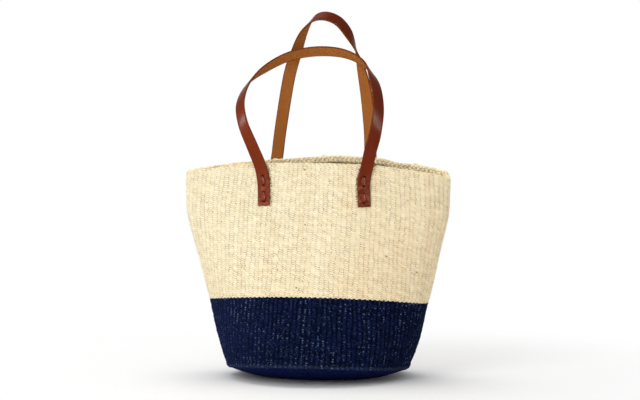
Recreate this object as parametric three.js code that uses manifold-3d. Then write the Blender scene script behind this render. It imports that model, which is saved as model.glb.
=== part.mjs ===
// A sisal tote: a round woven basket pressed flat at the mouth, with two laced leather handles.
// Millimetres, +Z up, the front of the bag towards -Y, the origin under the middle of the base.
import * as THREE from "three";
import { mergeVertices } from "three/addons/utils/BufferGeometryUtils.js";
import Module from "manifold-3d";

const wasm = await Module();
wasm.setup();

// The woven body. Heights are above the floor, and the sides of the rim droop below its middle.
const baseRadius = 138.5;
const mouthHalfWidth = 206;
const mouthHalfDepth = 38;
const wallThickness = 5;
const rimHeightFront = 324;
const rimHeightBack = 330;
const rimHeightLeft = 310;
const rimHeightRight = 305;
const seamHeightFront = 28;
const seamHeightSide = 15;
const navyHeight = 100;
const shoulderHeight = 234;
const shoulderBlend = 36;
const restHalfWidth = 85;
const restHalfDepth = 48;
const braidDiameter = 6.6;
const braidRise = 1.6;

// How the body's shape changes: the depth up the wall, the droop round the rim and the bowl's rise.
const depthTaper = 1.12;
const droopShape = 1.6;
const bowlShape = 1.5;

// The leather handles and how they are laced on.
const strapWidth = 19;
const strapThickness = 3;
const strapLift = 3.2;
const tabLength = 65;
const footHalfSpacing = 76;
const firstHoleDrop = 18.5;
const stitchLength = 12.5;
const bridgeLength = 11.5;
const holeDiameter = 4.2;
const laceWidth = 3.2;
const laceThickness = 1.6;
const laceBend = 1.5;
const knotDiameter = 7;
const patchWidth = 26;
const patchMargin = 9;
const patchThickness = 2;
const clearance = 0.3;

// A strap's roots at the rim stand further apart than its feet by the splay on each side. A handle's
// route runs from its left root to its right one. Each station is a place, in shares of the roots'
// half spacing, the lean and the drop, and then the way that the grain side faces.
const frontHandle = {
  name: "front",
  side: -1,
  rootSplay: 6,
  lean: 86,
  drop: 170,
  route: [
    [-1, 0, 0, 0, -1, 0],
    [-1.12, -0.14, 0.17, -0.2, -0.97, 0],
    [-1.3, -0.1, 0.37, -0.5, -0.83, 0.2],
    [-1.38, 0.11, 0.55, -0.75, -0.5, 0.42],
    [-1.28, 0.42, 0.72, -0.83, -0.1, 0.55],
    [-1.02, 0.7, 0.855, -0.65, 0.42, 0.62],
    [-0.61, 0.92, 0.96, -0.4, 0.66, 0.63],
    [-0.1, 1, 1, 0, 0.77, 0.63],
    [0.42, 0.92, 0.975, 0.4, 0.66, 0.63],
    [0.83, 0.68, 0.875, 0.7, 0.3, 0.62],
    [1.09, 0.38, 0.71, 0.8, -0.2, 0.54],
    [1.2, 0.1, 0.5, 0.68, -0.6, 0.4],
    [1.16, -0.1, 0.28, 0.4, -0.9, 0.15],
    [1.07, -0.1, 0.12, 0.1, -0.99, 0],
    [1, 0, 0, 0, -1, 0],
  ],
};
const backHandle = {
  name: "back",
  side: 1,
  rootSplay: -3.5,
  lean: 20,
  drop: 218,
  route: [
    [-1, 0, 0, 0, 1, 0],
    [-0.97, 0.45, 0.16, 0, 1, 0],
    [-0.87, 0.8, 0.42, -0.1, 1, 0],
    [-0.77, 0.9, 0.605, -0.2, 0.97, 0.1],
    [-0.63, 0.85, 0.75, -0.5, 0.8, 0.3],
    [-0.46, 0.55, 0.885, -0.8, 0.4, 0.45],
    [-0.22, 0.1, 0.98, -0.6, -0.35, 0.7],
    [0.04, -0.15, 1, 0, -0.7, 0.71],
    [0.31, 0, 0.965, 0.35, -0.72, 0.6],
    [0.51, 0.4, 0.88, 0.6, -0.6, 0.5],
    [0.65, 0.8, 0.765, 0.9, 0.1, 0.4],
    [0.76, 1, 0.63, 0.6, 0.75, 0.2],
    [0.87, 0.95, 0.445, 0.2, 0.97, 0],
    [0.97, 0.55, 0.18, 0, 1, 0],
    [1, 0, 0, 0, 1, 0],
  ],
};

// How finely the curved pieces are divided.
const stepsAround = 64;
const lowerRows = 5;
const upperRows = 8;
const braidFineness = 4;
const braidSides = 8;
const holeSides = 8;
const tabSteps = 4;
const stepsAlongLoop = 54;
const squareSteps = 3;
const searchSteps = 40;
const tangentStep = 1;

const natural = new THREE.MeshStandardMaterial({ color: 0xe9d9b0, roughness: 0.85 });
const navy = new THREE.MeshStandardMaterial({ color: 0x10183f, roughness: 0.8 });
const grain = new THREE.MeshStandardMaterial({ color: 0x7a3418, roughness: 0.45 });
const flesh = new THREE.MeshStandardMaterial({ color: 0xa5692d, roughness: 0.8 });

// The body's surface. "share" runs up the wall, 0 at the base seam and 1 at the rim, and "turn"
// is the angle round the bag, with 0 at the right and a quarter turn at the back.
const wallHeight = rimHeightFront - seamHeightFront;
const navyShare = navyHeight / wallHeight;

function flare(share) {
  const shoulder = shoulderHeight / wallHeight;
  const blend = shoulderBlend / wallHeight / 2;
  return (share + shoulder - Math.hypot(share - shoulder, blend)) / 2;
}

function halfWidth(share) {
  const part = (flare(share) - flare(0)) / (flare(1) - flare(0));
  return THREE.MathUtils.lerp(baseRadius, mouthHalfWidth, part);
}

function halfDepth(share) {
  return THREE.MathUtils.lerp(mouthHalfDepth, baseRadius, (1 - share) ** depthTaper);
}

// 1 at the middle of the front and the back, and 0 at the two sides.
function facing(turn) {
  return Math.abs(Math.sin(turn)) ** droopShape;
}

function seamHeight(turn) {
  return THREE.MathUtils.lerp(seamHeightSide, seamHeightFront, facing(turn));
}

function rimHeight(turn) {
  const side = THREE.MathUtils.lerp(rimHeightLeft, rimHeightRight, (1 + Math.cos(turn)) / 2);
  const middle = THREE.MathUtils.lerp(rimHeightFront, rimHeightBack, (1 + Math.sin(turn)) / 2);
  return THREE.MathUtils.lerp(side, middle, facing(turn));
}

function wallPoint(share, turn, inset = 0) {
  return new THREE.Vector3(
    (halfWidth(share) - inset) * Math.cos(turn),
    (halfDepth(share) - inset) * Math.sin(turn),
    THREE.MathUtils.lerp(seamHeight(turn), rimHeight(turn), share),
  );
}

// Geometry helpers.
function range(count, from, to) {
  return Array.from({ length: count + 1 }, (_, i) => THREE.MathUtils.lerp(from, to, i / count));
}

function turns() {
  return range(stepsAround, 0, 2 * Math.PI).slice(0, -1);
}

function signedVolume(corners) {
  let sum = 0;
  for (let i = 0; i < corners.length; i += 3) {
    sum += corners[i].dot(new THREE.Vector3().crossVectors(corners[i + 1], corners[i + 2]));
  }
  return sum;
}

// Joins rings of points, each with as many points, into one closed surface with its faces out.
// The last ring either joins the first or, like the first, is closed by a fan from its middle.
function skin(rings, endless = false) {
  const corners = [];
  const strips = endless ? rings.length : rings.length - 1;
  for (let r = 0; r < strips; r++) {
    const lower = rings[r];
    const upper = rings[(r + 1) % rings.length];
    lower.forEach((point, i) => {
      const j = (i + 1) % lower.length;
      corners.push(point, lower[j], upper[j], point, upper[j], upper[i]);
    });
  }
  if (!endless) {
    corners.push(...cap(rings[0]).reverse(), ...cap(rings.at(-1)));
  }
  if (signedVolume(corners) < 0) corners.reverse();
  return new THREE.BufferGeometry().setFromPoints(corners);
}

function cap(ring) {
  const middle = new THREE.Vector3();
  ring.forEach((point) => middle.addScaledVector(point, 1 / ring.length));
  return ring.flatMap((point, i) => [point, ring[(i + 1) % ring.length], middle]);
}

function toSolid(geometry) {
  const bare = new THREE.BufferGeometry();
  bare.setAttribute("position", geometry.getAttribute("position"));
  if (geometry.index) bare.setIndex(geometry.index);
  const merged = mergeVertices(bare, 1e-4);
  const vertProperties = merged.attributes.position.array;
  return new wasm.Manifold(
    new wasm.Mesh({ numProp: 3, vertProperties, triVerts: new Uint32Array(merged.index.array) }),
  );
}

function toGeometry(solid) {
  const { vertProperties, triVerts } = solid.getMesh();
  const geometry = new THREE.BufferGeometry();
  geometry.setAttribute("position", new THREE.BufferAttribute(vertProperties, 3));
  geometry.setIndex(new THREE.BufferAttribute(triVerts, 1));
  return geometry.toNonIndexed();
}

function cut(geometry, tools) {
  return toGeometry(tools.reduce((solid, tool) => solid.subtract(toSolid(tool)), toSolid(geometry)));
}

function join(geometry, parts) {
  return toGeometry(parts.reduce((solid, part) => solid.add(toSolid(part)), toSolid(geometry)));
}

// A flat strip with bevelled edges. Each station has a point, the way across the strip there and,
// where the strip is cut off at a slant, the way through its thickness.
function strip(stations, width, thickness) {
  const bevel = thickness / 4;
  const w = width / 2;
  const t = thickness / 2;
  const outline = [
    [w, t - bevel], [w - bevel, t], [bevel - w, t], [-w, t - bevel],
    [-w, bevel - t], [bevel - w, -t], [w - bevel, -t], [w, bevel - t],
  ];
  return skin(
    stations.map((station, i) => {
      const before = stations[Math.max(i - 1, 0)].point;
      const after = stations[Math.min(i + 1, stations.length - 1)].point;
      const along = after.clone().sub(before).normalize();
      const out = station.out ?? station.across.clone().cross(along).normalize();
      return outline.map(([a, b]) =>
        station.point.clone().addScaledVector(station.across, a).addScaledVector(out, b),
      );
    }),
  );
}

// The woven bands and the base.
function wallBand(fromShare, toShare, rows) {
  const gap = clearance / wallHeight;
  const shares = range(rows, fromShare + gap / 2, toShare - gap / 2);
  const outer = shares.map((share) => turns().map((turn) => wallPoint(share, turn)));
  const inner = shares.map((share) => turns().map((turn) => wallPoint(share, turn, wallThickness)));
  return skin([...outer, ...inner.reverse()], true);
}

// The base is a shallow bowl. "reach" runs from the edge of the flat middle, 0, to the seam, 1.
function basePoint(reach, turn, raise = 0, inset = 0) {
  const rest = new THREE.Vector3(restHalfWidth * Math.cos(turn), restHalfDepth * Math.sin(turn), 0);
  const seam = wallPoint(0, turn, inset);
  const point = rest.lerp(seam, reach);
  point.z = seam.z * reach ** bowlShape + raise;
  return point;
}

function baseShell() {
  const ring = (reach, raise, inset) => turns().map((turn) => basePoint(reach, turn, raise, inset));
  const under = [0, 0.2, 0.45, 0.7, 0.88].map((reach) => ring(reach, 0, 0));
  const edge = [ring(1, -clearance / 2, 0), ring(1, -clearance / 2, wallThickness)];
  const top = [0.8, 0.55, 0.3, 0].map((reach) => ring(reach, wallThickness, wallThickness));
  return skin([...under, ...edge, ...top]);
}

// The braid runs round the inside of the rim and turns back on itself at each pinched corner.
function braidPath() {
  const radius = braidDiameter / 2;
  const inset = wallThickness + clearance + radius;
  const cornerRadius = radius + clearance;
  const places = range(braidFineness * stepsAround, 0, 2 * Math.PI).slice(0, -1);
  const sides = places.map((turn) => {
    const point = wallPoint(1, turn);
    const ahead = wallPoint(1, turn + 1e-3);
    const inward = new THREE.Vector3(-(ahead.y - point.y), ahead.x - point.x, 0).normalize();
    return point.addScaledVector(inward, inset);
  });
  const clear = sides.filter(
    (point, i) => point.y * Math.sin(places[i]) > 0 && Math.abs(point.y) > cornerRadius,
  );
  const back = clear.filter((point) => point.y > 0);
  const front = clear.filter((point) => point.y < 0);
  return [
    ...thinned(back), ...corner(back.at(-1), front[0], cornerRadius),
    ...thinned(front), ...corner(front.at(-1), back[0], cornerRadius),
  ];
}

// The points of a side at the coarser spacing, with both its ends.
function thinned(points) {
  return points.filter((_, i) => i % braidFineness === 0 || i === points.length - 1);
}

// The middle points of the half turn from one side to the other.
function corner(from, to, radius) {
  const outward = Math.sign(from.x);
  return [0.25, 0.5, 0.75].map((part) => {
    const point = from.clone().lerp(to, part);
    const swing = Math.cos(Math.PI * part);
    point.x += outward * radius * Math.sin(Math.PI * part);
    point.y = swing * from.y;
    return point;
  });
}

function rimBraid() {
  const path = braidPath();
  const radius = braidDiameter / 2;
  const up = new THREE.Vector3(0, 0, 1);
  const rings = path.map((point, i) => {
    const along = path[(i + 1) % path.length].clone().sub(path.at(i - 1)).setZ(0).normalize();
    const side = along.cross(up);
    return range(braidSides, 0, 2 * Math.PI).slice(0, -1).map((angle) =>
      point.clone()
        .addScaledVector(side, radius * Math.cos(angle))
        .addScaledVector(up, radius * Math.sin(angle) - radius + braidRise),
    );
  });
  return skin(rings, true);
}

// Where a strap end lies on the wall. "drop" is the height below the rim, and the frame holds the
// point on the wall's outer face, the way across the strap, up along it and out of the wall.
function turnAt(handle, x, share) {
  return handle.side * Math.acos(x / halfWidth(share));
}

function onWall(handle, x, drop) {
  let low = 0;
  let high = 1;
  const target = wallPoint(1, turnAt(handle, x, 1)).z - drop;
  for (let i = 0; i < searchSteps; i++) {
    const middle = (low + high) / 2;
    if (wallPoint(middle, turnAt(handle, x, middle)).z < target) low = middle;
    else high = middle;
  }
  return wallPoint(low, turnAt(handle, x, low));
}

function rootHalfSpacing(handle) {
  return footHalfSpacing + handle.rootSplay;
}

function tabFrame(handle, leg, drop) {
  const splayed = (d) => Math.max(1 - d / firstHoleDrop, 0);
  const xAt = (d) => leg * (footHalfSpacing + handle.rootSplay * splayed(d));
  const point = onWall(handle, xAt(drop), drop);
  const along = onWall(handle, xAt(drop), Math.max(drop - tangentStep, 0))
    .sub(onWall(handle, xAt(drop), drop + tangentStep))
    .normalize();
  const across = onWall(handle, xAt(drop) + tangentStep, drop)
    .sub(onWall(handle, xAt(drop) - tangentStep, drop))
    .multiplyScalar(-handle.side)
    .normalize();
  const out = across.clone().cross(along).normalize();
  return { point, across, out };
}

function offWall(frame, distance) {
  return frame.point.clone().addScaledVector(frame.out, distance);
}

// The strap stands off the wall between its first lacing hole and the rim.
function tabStation(handle, leg, drop) {
  const frame = tabFrame(handle, leg, drop);
  const free = Math.max(1 - drop / firstHoleDrop, 0);
  const distance = clearance + strapThickness / 2 + strapLift * free ** 2;
  const across = frame.across.clone().lerp(new THREE.Vector3(-handle.side, 0, 0), free).normalize();
  return { point: offWall(frame, distance), across };
}

// Both ends of a strap are cut on one level at the rim, where it bends. Below the cut is the tab,
// above it the loop.
function rootLine(handle) {
  const { point } = tabStation(handle, 1, 0);
  return point.lerp(tabStation(handle, -1, 0).point, 0.5);
}

function levelCut(handle, leg, raise) {
  const point = rootLine(handle).setX(leg * rootHalfSpacing(handle));
  point.z += raise;
  return { point, out: new THREE.Vector3(0, handle.side, 0) };
}

// The bend line runs along the outer face of the strap, just clear of it.
function hinge(handle) {
  const line = rootLine(handle).setX(0);
  line.y += handle.side * (strapThickness / 2 + clearance);
  return line;
}

const holeDrops = [
  firstHoleDrop,
  firstHoleDrop + stitchLength,
  firstHoleDrop + stitchLength + bridgeLength,
  firstHoleDrop + 2 * stitchLength + bridgeLength,
];

function holeTools(handle, leg) {
  return holeDrops.map((drop) => {
    const frame = tabFrame(handle, leg, drop);
    const length = 4 * (strapThickness + wallThickness + patchThickness);
    const tool = new THREE.CylinderGeometry(holeDiameter / 2, holeDiameter / 2, length, holeSides);
    const turned = new THREE.Quaternion().setFromUnitVectors(new THREE.Vector3(0, 1, 0), frame.out);
    return tool.applyQuaternion(turned).translate(...frame.point);
  });
}

function strapTab(handle, leg) {
  const drops = [
    ...range(tabSteps, tabLength, firstHoleDrop),
    ...range(tabSteps, firstHoleDrop, 0).slice(1, -1),
  ];
  const stations = drops.map((drop) => tabStation(handle, leg, drop));
  const across = new THREE.Vector3(-handle.side, 0, 0);
  stations.push({ ...levelCut(handle, leg, -clearance / 2), across });
  return cut(strip(stations, strapWidth, strapThickness), holeTools(handle, leg));
}

function backingPatch(handle, leg) {
  const distance = -(wallThickness + clearance + patchThickness / 2);
  const lowest = holeDrops.at(-1) + patchMargin;
  const stations = range(tabSteps, lowest, firstHoleDrop - patchMargin).map((drop) => {
    const frame = tabFrame(handle, leg, drop);
    return { point: offWall(frame, distance), across: frame.across };
  });
  return cut(strip(stations, patchWidth, patchThickness), holeTools(handle, leg));
}

// The thong comes out of the first hole, makes a stitch, goes in, and does the same again below.
function lacePath() {
  const outside = clearance + strapThickness + clearance + laceThickness / 2;
  const inside = -(wallThickness + 2 * clearance + patchThickness + laceThickness / 2);
  const [first, second, third, last] = holeDrops;
  const knot = inside - laceBend;
  return [
    [first, knot],
    ...bend(first, outside, 1, 1), ...bend(second, outside, -1, 1).reverse(),
    ...bend(second, inside, 1, -1), ...bend(third, inside, -1, -1).reverse(),
    ...bend(third, outside, 1, 1), ...bend(last, outside, -1, 1).reverse(),
    [last, knot],
  ];
}

// A quarter turn from a hole's axis onto the face level, towards the next hole down or up.
function bend(drop, level, down, out) {
  return range(2, 0, Math.PI / 2).map((angle) => [
    drop + down * laceBend * (1 - Math.cos(angle)),
    level - out * laceBend * (1 - Math.sin(angle)),
  ]);
}

function lace(handle, leg) {
  const path = lacePath();
  const stations = path.map(([drop, distance]) => {
    const frame = tabFrame(handle, leg, drop);
    return { point: offWall(frame, distance), across: frame.across };
  });
  const knots = [stations[0], stations.at(-1)].map(({ point }, i) => {
    const { out } = tabFrame(handle, leg, path.at(-i)[0]);
    const knot = new THREE.IcosahedronGeometry(knotDiameter / 2, 1);
    const sunk = point.clone().addScaledVector(out, -knotDiameter / 2 + laceBend);
    return knot.translate(...sunk);
  });
  return join(strip(stations, laceWidth, laceThickness), knots);
}

// The free loop of a strap, which leaves both its roots square to the bend line.
function strapLoop(handle) {
  const { point: root, out } = levelCut(handle, 1, clearance / 2);
  const places = handle.route.map(([across, back, up]) => new THREE.Vector3(
    across * rootHalfSpacing(handle),
    root.y + back * handle.lean,
    root.z + up * handle.drop,
  ));
  const facings = handle.route.map(([, , , x, y, z]) => new THREE.Vector3(x, y, z));
  const line = new THREE.CatmullRomCurve3(places, false, "catmullrom", 0.5);
  const grainSide = new THREE.CatmullRomCurve3(facings, false, "catmullrom", 0.5);
  const stations = range(stepsAlongLoop, 0, 1).map((part) => {
    const across = line.getTangent(part).cross(grainSide.getPoint(part)).normalize();
    const square = Math.max(1 - stepsAlongLoop * Math.min(part, 1 - part) / squareSteps, 0);
    const level = new THREE.Vector3(Math.sign(across.x), 0, 0);
    return { point: line.getPoint(part), across: across.lerp(level, square).normalize() };
  });
  stations[0].out = out;
  stations.at(-1).out = out;
  return strip(stations, strapWidth, strapThickness);
}

function named(name, geometry, material) {
  const mesh = new THREE.Mesh(geometry, material);
  mesh.name = name;
  return mesh;
}

const tote = new THREE.Group();
const handles = [frontHandle, backHandle];
const legs = [[-1, "left"], [1, "right"]];
const allHoles = handles.flatMap((handle) => legs.flatMap(([leg]) => holeTools(handle, leg)));

tote.add(named("base", baseShell(), navy));
tote.add(named("lower_wall", wallBand(0, navyShare, lowerRows), navy));
tote.add(named("upper_wall", cut(wallBand(navyShare, 1, upperRows), allHoles), natural));
tote.add(named("rim_braid", rimBraid(), natural));
for (const handle of handles) {
  for (const [leg, legName] of legs) {
    const prefix = `${handle.name}_${legName}`;
    tote.add(named(`${prefix}_tab`, strapTab(handle, leg), grain));
    tote.add(named(`${prefix}_patch`, backingPatch(handle, leg), flesh));
    tote.add(named(`${prefix}_lace`, lace(handle, leg), grain));
  }
  tote.add(named(`${handle.name}_strap`, strapLoop(handle), grain));
  console.log(handle.name, "hinge line at", hinge(handle).toArray().map((v) => v.toFixed(2)).join(" "));
}

export default tote;
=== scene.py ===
# %% [markdown]
# # A sisal tote with laced leather handles
# This lesson dresses a packed CAD model of a woven bag. The frame gives the sizes and the bodies that
# move. Every soft piece is then built again in finer mesh code: the woven walls and base, the plait
# inside the rim, the two leather straps, their laces and the patches behind them. Each step says what
# the piece is on the real bag, how it could be made, and why it is made this way.

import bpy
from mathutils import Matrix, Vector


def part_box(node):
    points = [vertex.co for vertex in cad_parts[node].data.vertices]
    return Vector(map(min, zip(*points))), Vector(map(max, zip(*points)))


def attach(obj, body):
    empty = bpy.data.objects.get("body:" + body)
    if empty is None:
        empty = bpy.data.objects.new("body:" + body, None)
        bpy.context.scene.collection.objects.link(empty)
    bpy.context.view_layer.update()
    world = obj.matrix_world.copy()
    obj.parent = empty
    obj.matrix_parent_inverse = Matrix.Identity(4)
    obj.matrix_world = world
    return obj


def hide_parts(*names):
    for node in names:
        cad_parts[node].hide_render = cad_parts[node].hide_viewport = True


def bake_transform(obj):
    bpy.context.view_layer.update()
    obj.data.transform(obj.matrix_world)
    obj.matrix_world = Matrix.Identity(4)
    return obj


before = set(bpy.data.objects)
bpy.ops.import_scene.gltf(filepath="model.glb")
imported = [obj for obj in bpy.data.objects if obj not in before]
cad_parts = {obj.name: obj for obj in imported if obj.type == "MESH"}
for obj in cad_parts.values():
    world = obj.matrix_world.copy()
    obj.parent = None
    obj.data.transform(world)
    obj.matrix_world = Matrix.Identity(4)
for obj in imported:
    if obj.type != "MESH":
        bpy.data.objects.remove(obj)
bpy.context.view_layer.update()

# %% [markdown]
# ## Sizes
# Lengths are in metres. The frame's own boxes give the outer sizes of the woven body, so the pieces
# follow the CAD. They could all be typed in again, but then a change of the CAD would leave the pieces
# behind. What a box can't tell, such as how the wall tapers, is written here once.

# %% Sizes of the woven body
import math

import bmesh
import bpy
import numpy as np
from mathutils import Vector

mm = 0.001

base_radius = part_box("base")[1].x
mouth_half_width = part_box("upper_wall")[1].x
rim_height_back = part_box("upper_wall")[1].z
rim_height_front = rim_height_back - 6 * mm
rim_height_left = 310 * mm
rim_height_right = 305 * mm
seam_height_front = 28 * mm
seam_height_side = 15 * mm
mouth_half_depth = 38 * mm
wall_thickness = 5 * mm
shoulder_height = 234 * mm
shoulder_blend = 36 * mm
rest_half_width = 85 * mm
rest_half_depth = 48 * mm
depth_taper = 1.12
droop_shape = 1.6
bowl_shape = 1.5
clearance = 0.3 * mm
wall_height = rim_height_front - seam_height_front
print("mouth", round(2 * mouth_half_width, 4), "wide, base", round(2 * base_radius, 4), "across")

# %% Sizes of the weave
rib_count = 118
row_count = 94
navy_rows = 32
slant = 0.55
rib_relief = 1.5 * mm
stitch_relief = 0.8 * mm
weave_lift = 0.1 * mm
columns_per_rib = 4
steps_per_row = 3
print("rows about", round(wall_height / row_count / mm, 2), "mm apart")

# %% Sizes of the leather
strap_width = 19 * mm
strap_thickness = 3 * mm
strap_lift = 3.2 * mm
tab_length = 61.5 * mm
tab_lean = 0.075
foot_half_spacing = 76 * mm
first_hole_drop = 18.5 * mm
stitch_length = 12.5 * mm
bridge_length = 11.5 * mm
hole_diameter = 4.2 * mm
lace_width = 4.6 * mm
lace_thickness = 1.7 * mm
lace_bend = 1.5 * mm
patch_width = 26 * mm
patch_margin = 9 * mm
patch_thickness = 2 * mm
hole_drops = [
    first_hole_drop,
    first_hole_drop + stitch_length,
    first_hole_drop + stitch_length + bridge_length,
    first_hole_drop + 2 * stitch_length + bridge_length,
]
print("holes below the rim, in mm", [round(drop / mm, 1) for drop in hole_drops])

# %% [markdown]
# ## The surface of the bag
# The bag is a round basket that is pressed flat at the mouth. One formula gives any point of its wall:
# "share" runs from the base seam up to the rim, and "turn" is the angle round the bag, with 0 at the
# right and a quarter turn at the back. The wall could be sculpted by hand, but every later piece lies
# on it, and a formula tells each of them where it is. The ribs of the weave are spread evenly by
# length, not by angle, because the weaver spaces the warps by hand along the fabric.

# %% The wall as a formula
def blend_between(low, high, part):
    return low + (high - low) * part


def flare(share):
    shoulder = shoulder_height / wall_height
    blend = shoulder_blend / wall_height / 2
    return (share + shoulder - np.hypot(share - shoulder, blend)) / 2


def half_width(share):
    part = (flare(share) - flare(0.0)) / (flare(1.0) - flare(0.0))
    return blend_between(base_radius, mouth_half_width, part)


def half_depth(share):
    return blend_between(mouth_half_depth, base_radius, (1 - share) ** depth_taper)


def facing(turn):
    return np.abs(np.sin(turn)) ** droop_shape


def seam_height(turn):
    return blend_between(seam_height_side, seam_height_front, facing(turn))


def rim_height(turn):
    side = blend_between(rim_height_left, rim_height_right, (1 + np.cos(turn)) / 2)
    middle = blend_between(rim_height_front, rim_height_back, (1 + np.sin(turn)) / 2)
    return blend_between(side, middle, facing(turn))


def wall_point(share, turn, inset=0.0):
    x = (half_width(share) - inset) * np.cos(turn)
    y = (half_depth(share) - inset) * np.sin(turn)
    z = blend_between(seam_height(turn), rim_height(turn), share)
    return np.stack(np.broadcast_arrays(x, y, z), axis=-1)


print("half the width at the seam and the rim", *(f"{half_width(share):.4f}" for share in (0.0, 1.0)))

# %% [markdown]
# ## Uneven by hand
# No hand-woven rim is level. The front and the back rim sway by a few millimetres, the right corner is
# drawn in and the lower half is a little fuller at its sides. A cloth simulation could sag the wall,
# but it wouldn't sag like this one, so the moves are short tables and smooth steps on the formula.

# %% What the hand of the weaver adds
front_sway = [(-206, -2), (-165, -4), (-112, 0), (-78, -1), (25, -1.4), (78, -1.8), (88, -6), (99, -1.8),
              (132, -3.2), (169, -4), (206, -5)]
back_sway = [(-206, -2), (-52, -2), (-5, 0), (25, 2), (41, 1.5), (87, 3), (118, -0.5), (180, 2),
             (199, 3), (206, -5)]
sway_fade = 9
right_draw = 4.5 * mm
low_swell = 3.2 * mm
low_swell_height = 62 * mm
low_swell_reach = 38 * mm
swell_start = 0.06
draw_start = 0.35
draw_blend = 0.3


def ease(part):
    part = np.clip(part, 0, 1)
    return part * part * (3 - 2 * part)


def smooth_steps(x, table):
    """A smooth line through a short table of places and values, both in millimetres."""
    places, values = np.array(table, float).T * mm
    at = np.clip(np.searchsorted(places, x) - 1, 0, len(places) - 2)
    part = (x - places[at]) / (places[at + 1] - places[at])
    return blend_between(values[at], values[at + 1], ease(part))


def draped(share, turn, inset=0.0):
    """The wall with its uneven rim, its drawn-in right corner and its fuller lower half."""
    points = wall_point(share, turn, inset)
    share = np.broadcast_to(share, points.shape[:-1])
    x, z = points[..., 0], points[..., 2]
    side = np.broadcast_to(np.cos(turn), x.shape)
    sway = np.where(points[..., 1] < 0, smooth_steps(x, front_sway), smooth_steps(x, back_sway))
    swell = low_swell * np.exp(-(((z - low_swell_height) / low_swell_reach) ** 2))
    swell = swell * ease(share / swell_start)
    draw = right_draw * ease((share - draw_start) / draw_blend) * np.maximum(side, 0) ** 2
    points[..., 0] += swell * side - draw
    points[..., 2] += sway * share**sway_fade
    return points


print("rim height in the middle of the front", round(float(draped(1.0, -math.pi / 2)[2]), 4))

# %% Ribs spread evenly by length
angle_samples = np.linspace(0, 2 * math.pi, 2049)
gather_at_rim = -0.07
gather_at_seam = 0.06


def turns_at(share, columns):
    """The angles of evenly spread columns, a little closer at the front and back of the rim."""
    x = half_width(share) * np.cos(angle_samples)
    y = half_depth(share) * np.sin(angle_samples)
    steps = np.hypot(np.diff(x), np.diff(y))
    travelled = np.concatenate([[0], np.cumsum(steps)]) / steps.sum()
    even = np.linspace(0, 1, columns + 1)[:-1]
    gather = blend_between(gather_at_seam, gather_at_rim, share)
    spread = even - gather * np.sin(4 * math.pi * even) / (4 * math.pi)
    return np.interp(spread, travelled, angle_samples)


print("ribs", rib_count, "rows", row_count)

# %% [markdown]
# ## Where the leather lies
# Each handle is laced to the wall at two places and leaves it at the rim. Its route runs from its left
# root to its right one. Each station of the route is a place, in shares of the roots' half spacing, of
# the lean and of the drop, and then the way that the grain side faces. A strap end lies on the wall, so
# its place is found on the wall's own formula: a search finds the height, and small steps up and across
# give the way the fabric faces there. A Shrinkwrap modifier could lay it on the mesh, but it would
# follow each stitch, and leather doesn't.

# %% The two handles
front_handle = {
    "name": "front", "side": -1, "root_splay": 6 * mm, "lean": 86 * mm, "drop": 170 * mm,
    "tab_lean": tab_lean,
    "route": [
        (-1, 0, 0, 0, -1, 0),
        (-1.12, -0.14, 0.17, -0.2, -0.97, 0),
        (-1.3, -0.1, 0.37, -0.5, -0.83, 0.2),
        (-1.39, 0.11, 0.55, -0.62, -0.66, 0.42),
        (-1.3, 0.42, 0.72, -0.8, -0.3, 0.52),
        (-1.02, 0.7, 0.855, -0.65, 0.42, 0.62),
        (-0.61, 0.92, 0.96, -0.4, 0.66, 0.63),
        (-0.1, 1, 1, 0, 0.77, 0.63),
        (0.42, 0.92, 0.975, 0.4, 0.66, 0.63),
        (0.84, 0.68, 0.875, 0.72, 0.38, 0.58),
        (1.07, 0.38, 0.71, 0.68, -0.5, 0.52),
        (1.185, 0.1, 0.5, 0.63, -0.66, 0.38),
        (1.16, -0.1, 0.28, 0.4, -0.9, 0.15),
        (1.07, -0.1, 0.12, 0.1, -0.99, 0),
        (1, 0, 0, 0, -1, 0),
    ],
}
back_handle = {
    "name": "back", "side": 1, "root_splay": -3.5 * mm, "lean": 20 * mm, "drop": 218 * mm,
    "tab_lean": 0,
    "route": [
        (-1, 0, 0, 0, 1, 0),
        (-0.97, 0.45, 0.16, 0, 1, 0),
        (-0.87, 0.8, 0.42, -0.1, 1, 0),
        (-0.77, 0.9, 0.605, -0.2, 0.97, 0.1),
        (-0.63, 0.85, 0.75, -0.5, 0.8, 0.3),
        (-0.46, 0.55, 0.885, -0.8, 0.4, 0.45),
        (-0.22, 0.1, 0.98, -0.6, -0.35, 0.7),
        (0.04, -0.15, 1, 0, -0.7, 0.71),
        (0.31, 0, 0.965, 0.35, -0.72, 0.6),
        (0.51, 0.4, 0.88, 0.6, -0.6, 0.5),
        (0.65, 0.8, 0.765, 0.9, 0.1, 0.4),
        (0.76, 1, 0.63, 0.6, 0.75, 0.2),
        (0.87, 0.95, 0.445, 0.2, 0.97, 0),
        (0.97, 0.55, 0.18, 0, 1, 0),
        (1, 0, 0, 0, 1, 0),
    ],
}
handles = [front_handle, back_handle]
legs = [(-1, "left"), (1, "right")]
print("stations", {handle["name"]: len(handle["route"]) for handle in handles})

# %% Places on the wall
search_steps = 40
tangent_step = 1 * mm
splay_reach = 36 * mm


def unit(vector):
    return vector / np.linalg.norm(vector)


def on_wall(handle, x, drop):
    """The place on the wall at a distance across the bag and a drop below the rim."""
    def turn_at(share):
        return handle["side"] * math.acos(x / half_width(share))

    target = wall_point(1.0, turn_at(1.0))[2] - drop
    low, high = 0.0, 1.0
    for _ in range(search_steps):
        middle = (low + high) / 2
        if wall_point(middle, turn_at(middle))[2] < target:
            low = middle
        else:
            high = middle
    return wall_point(low, turn_at(low))


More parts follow.
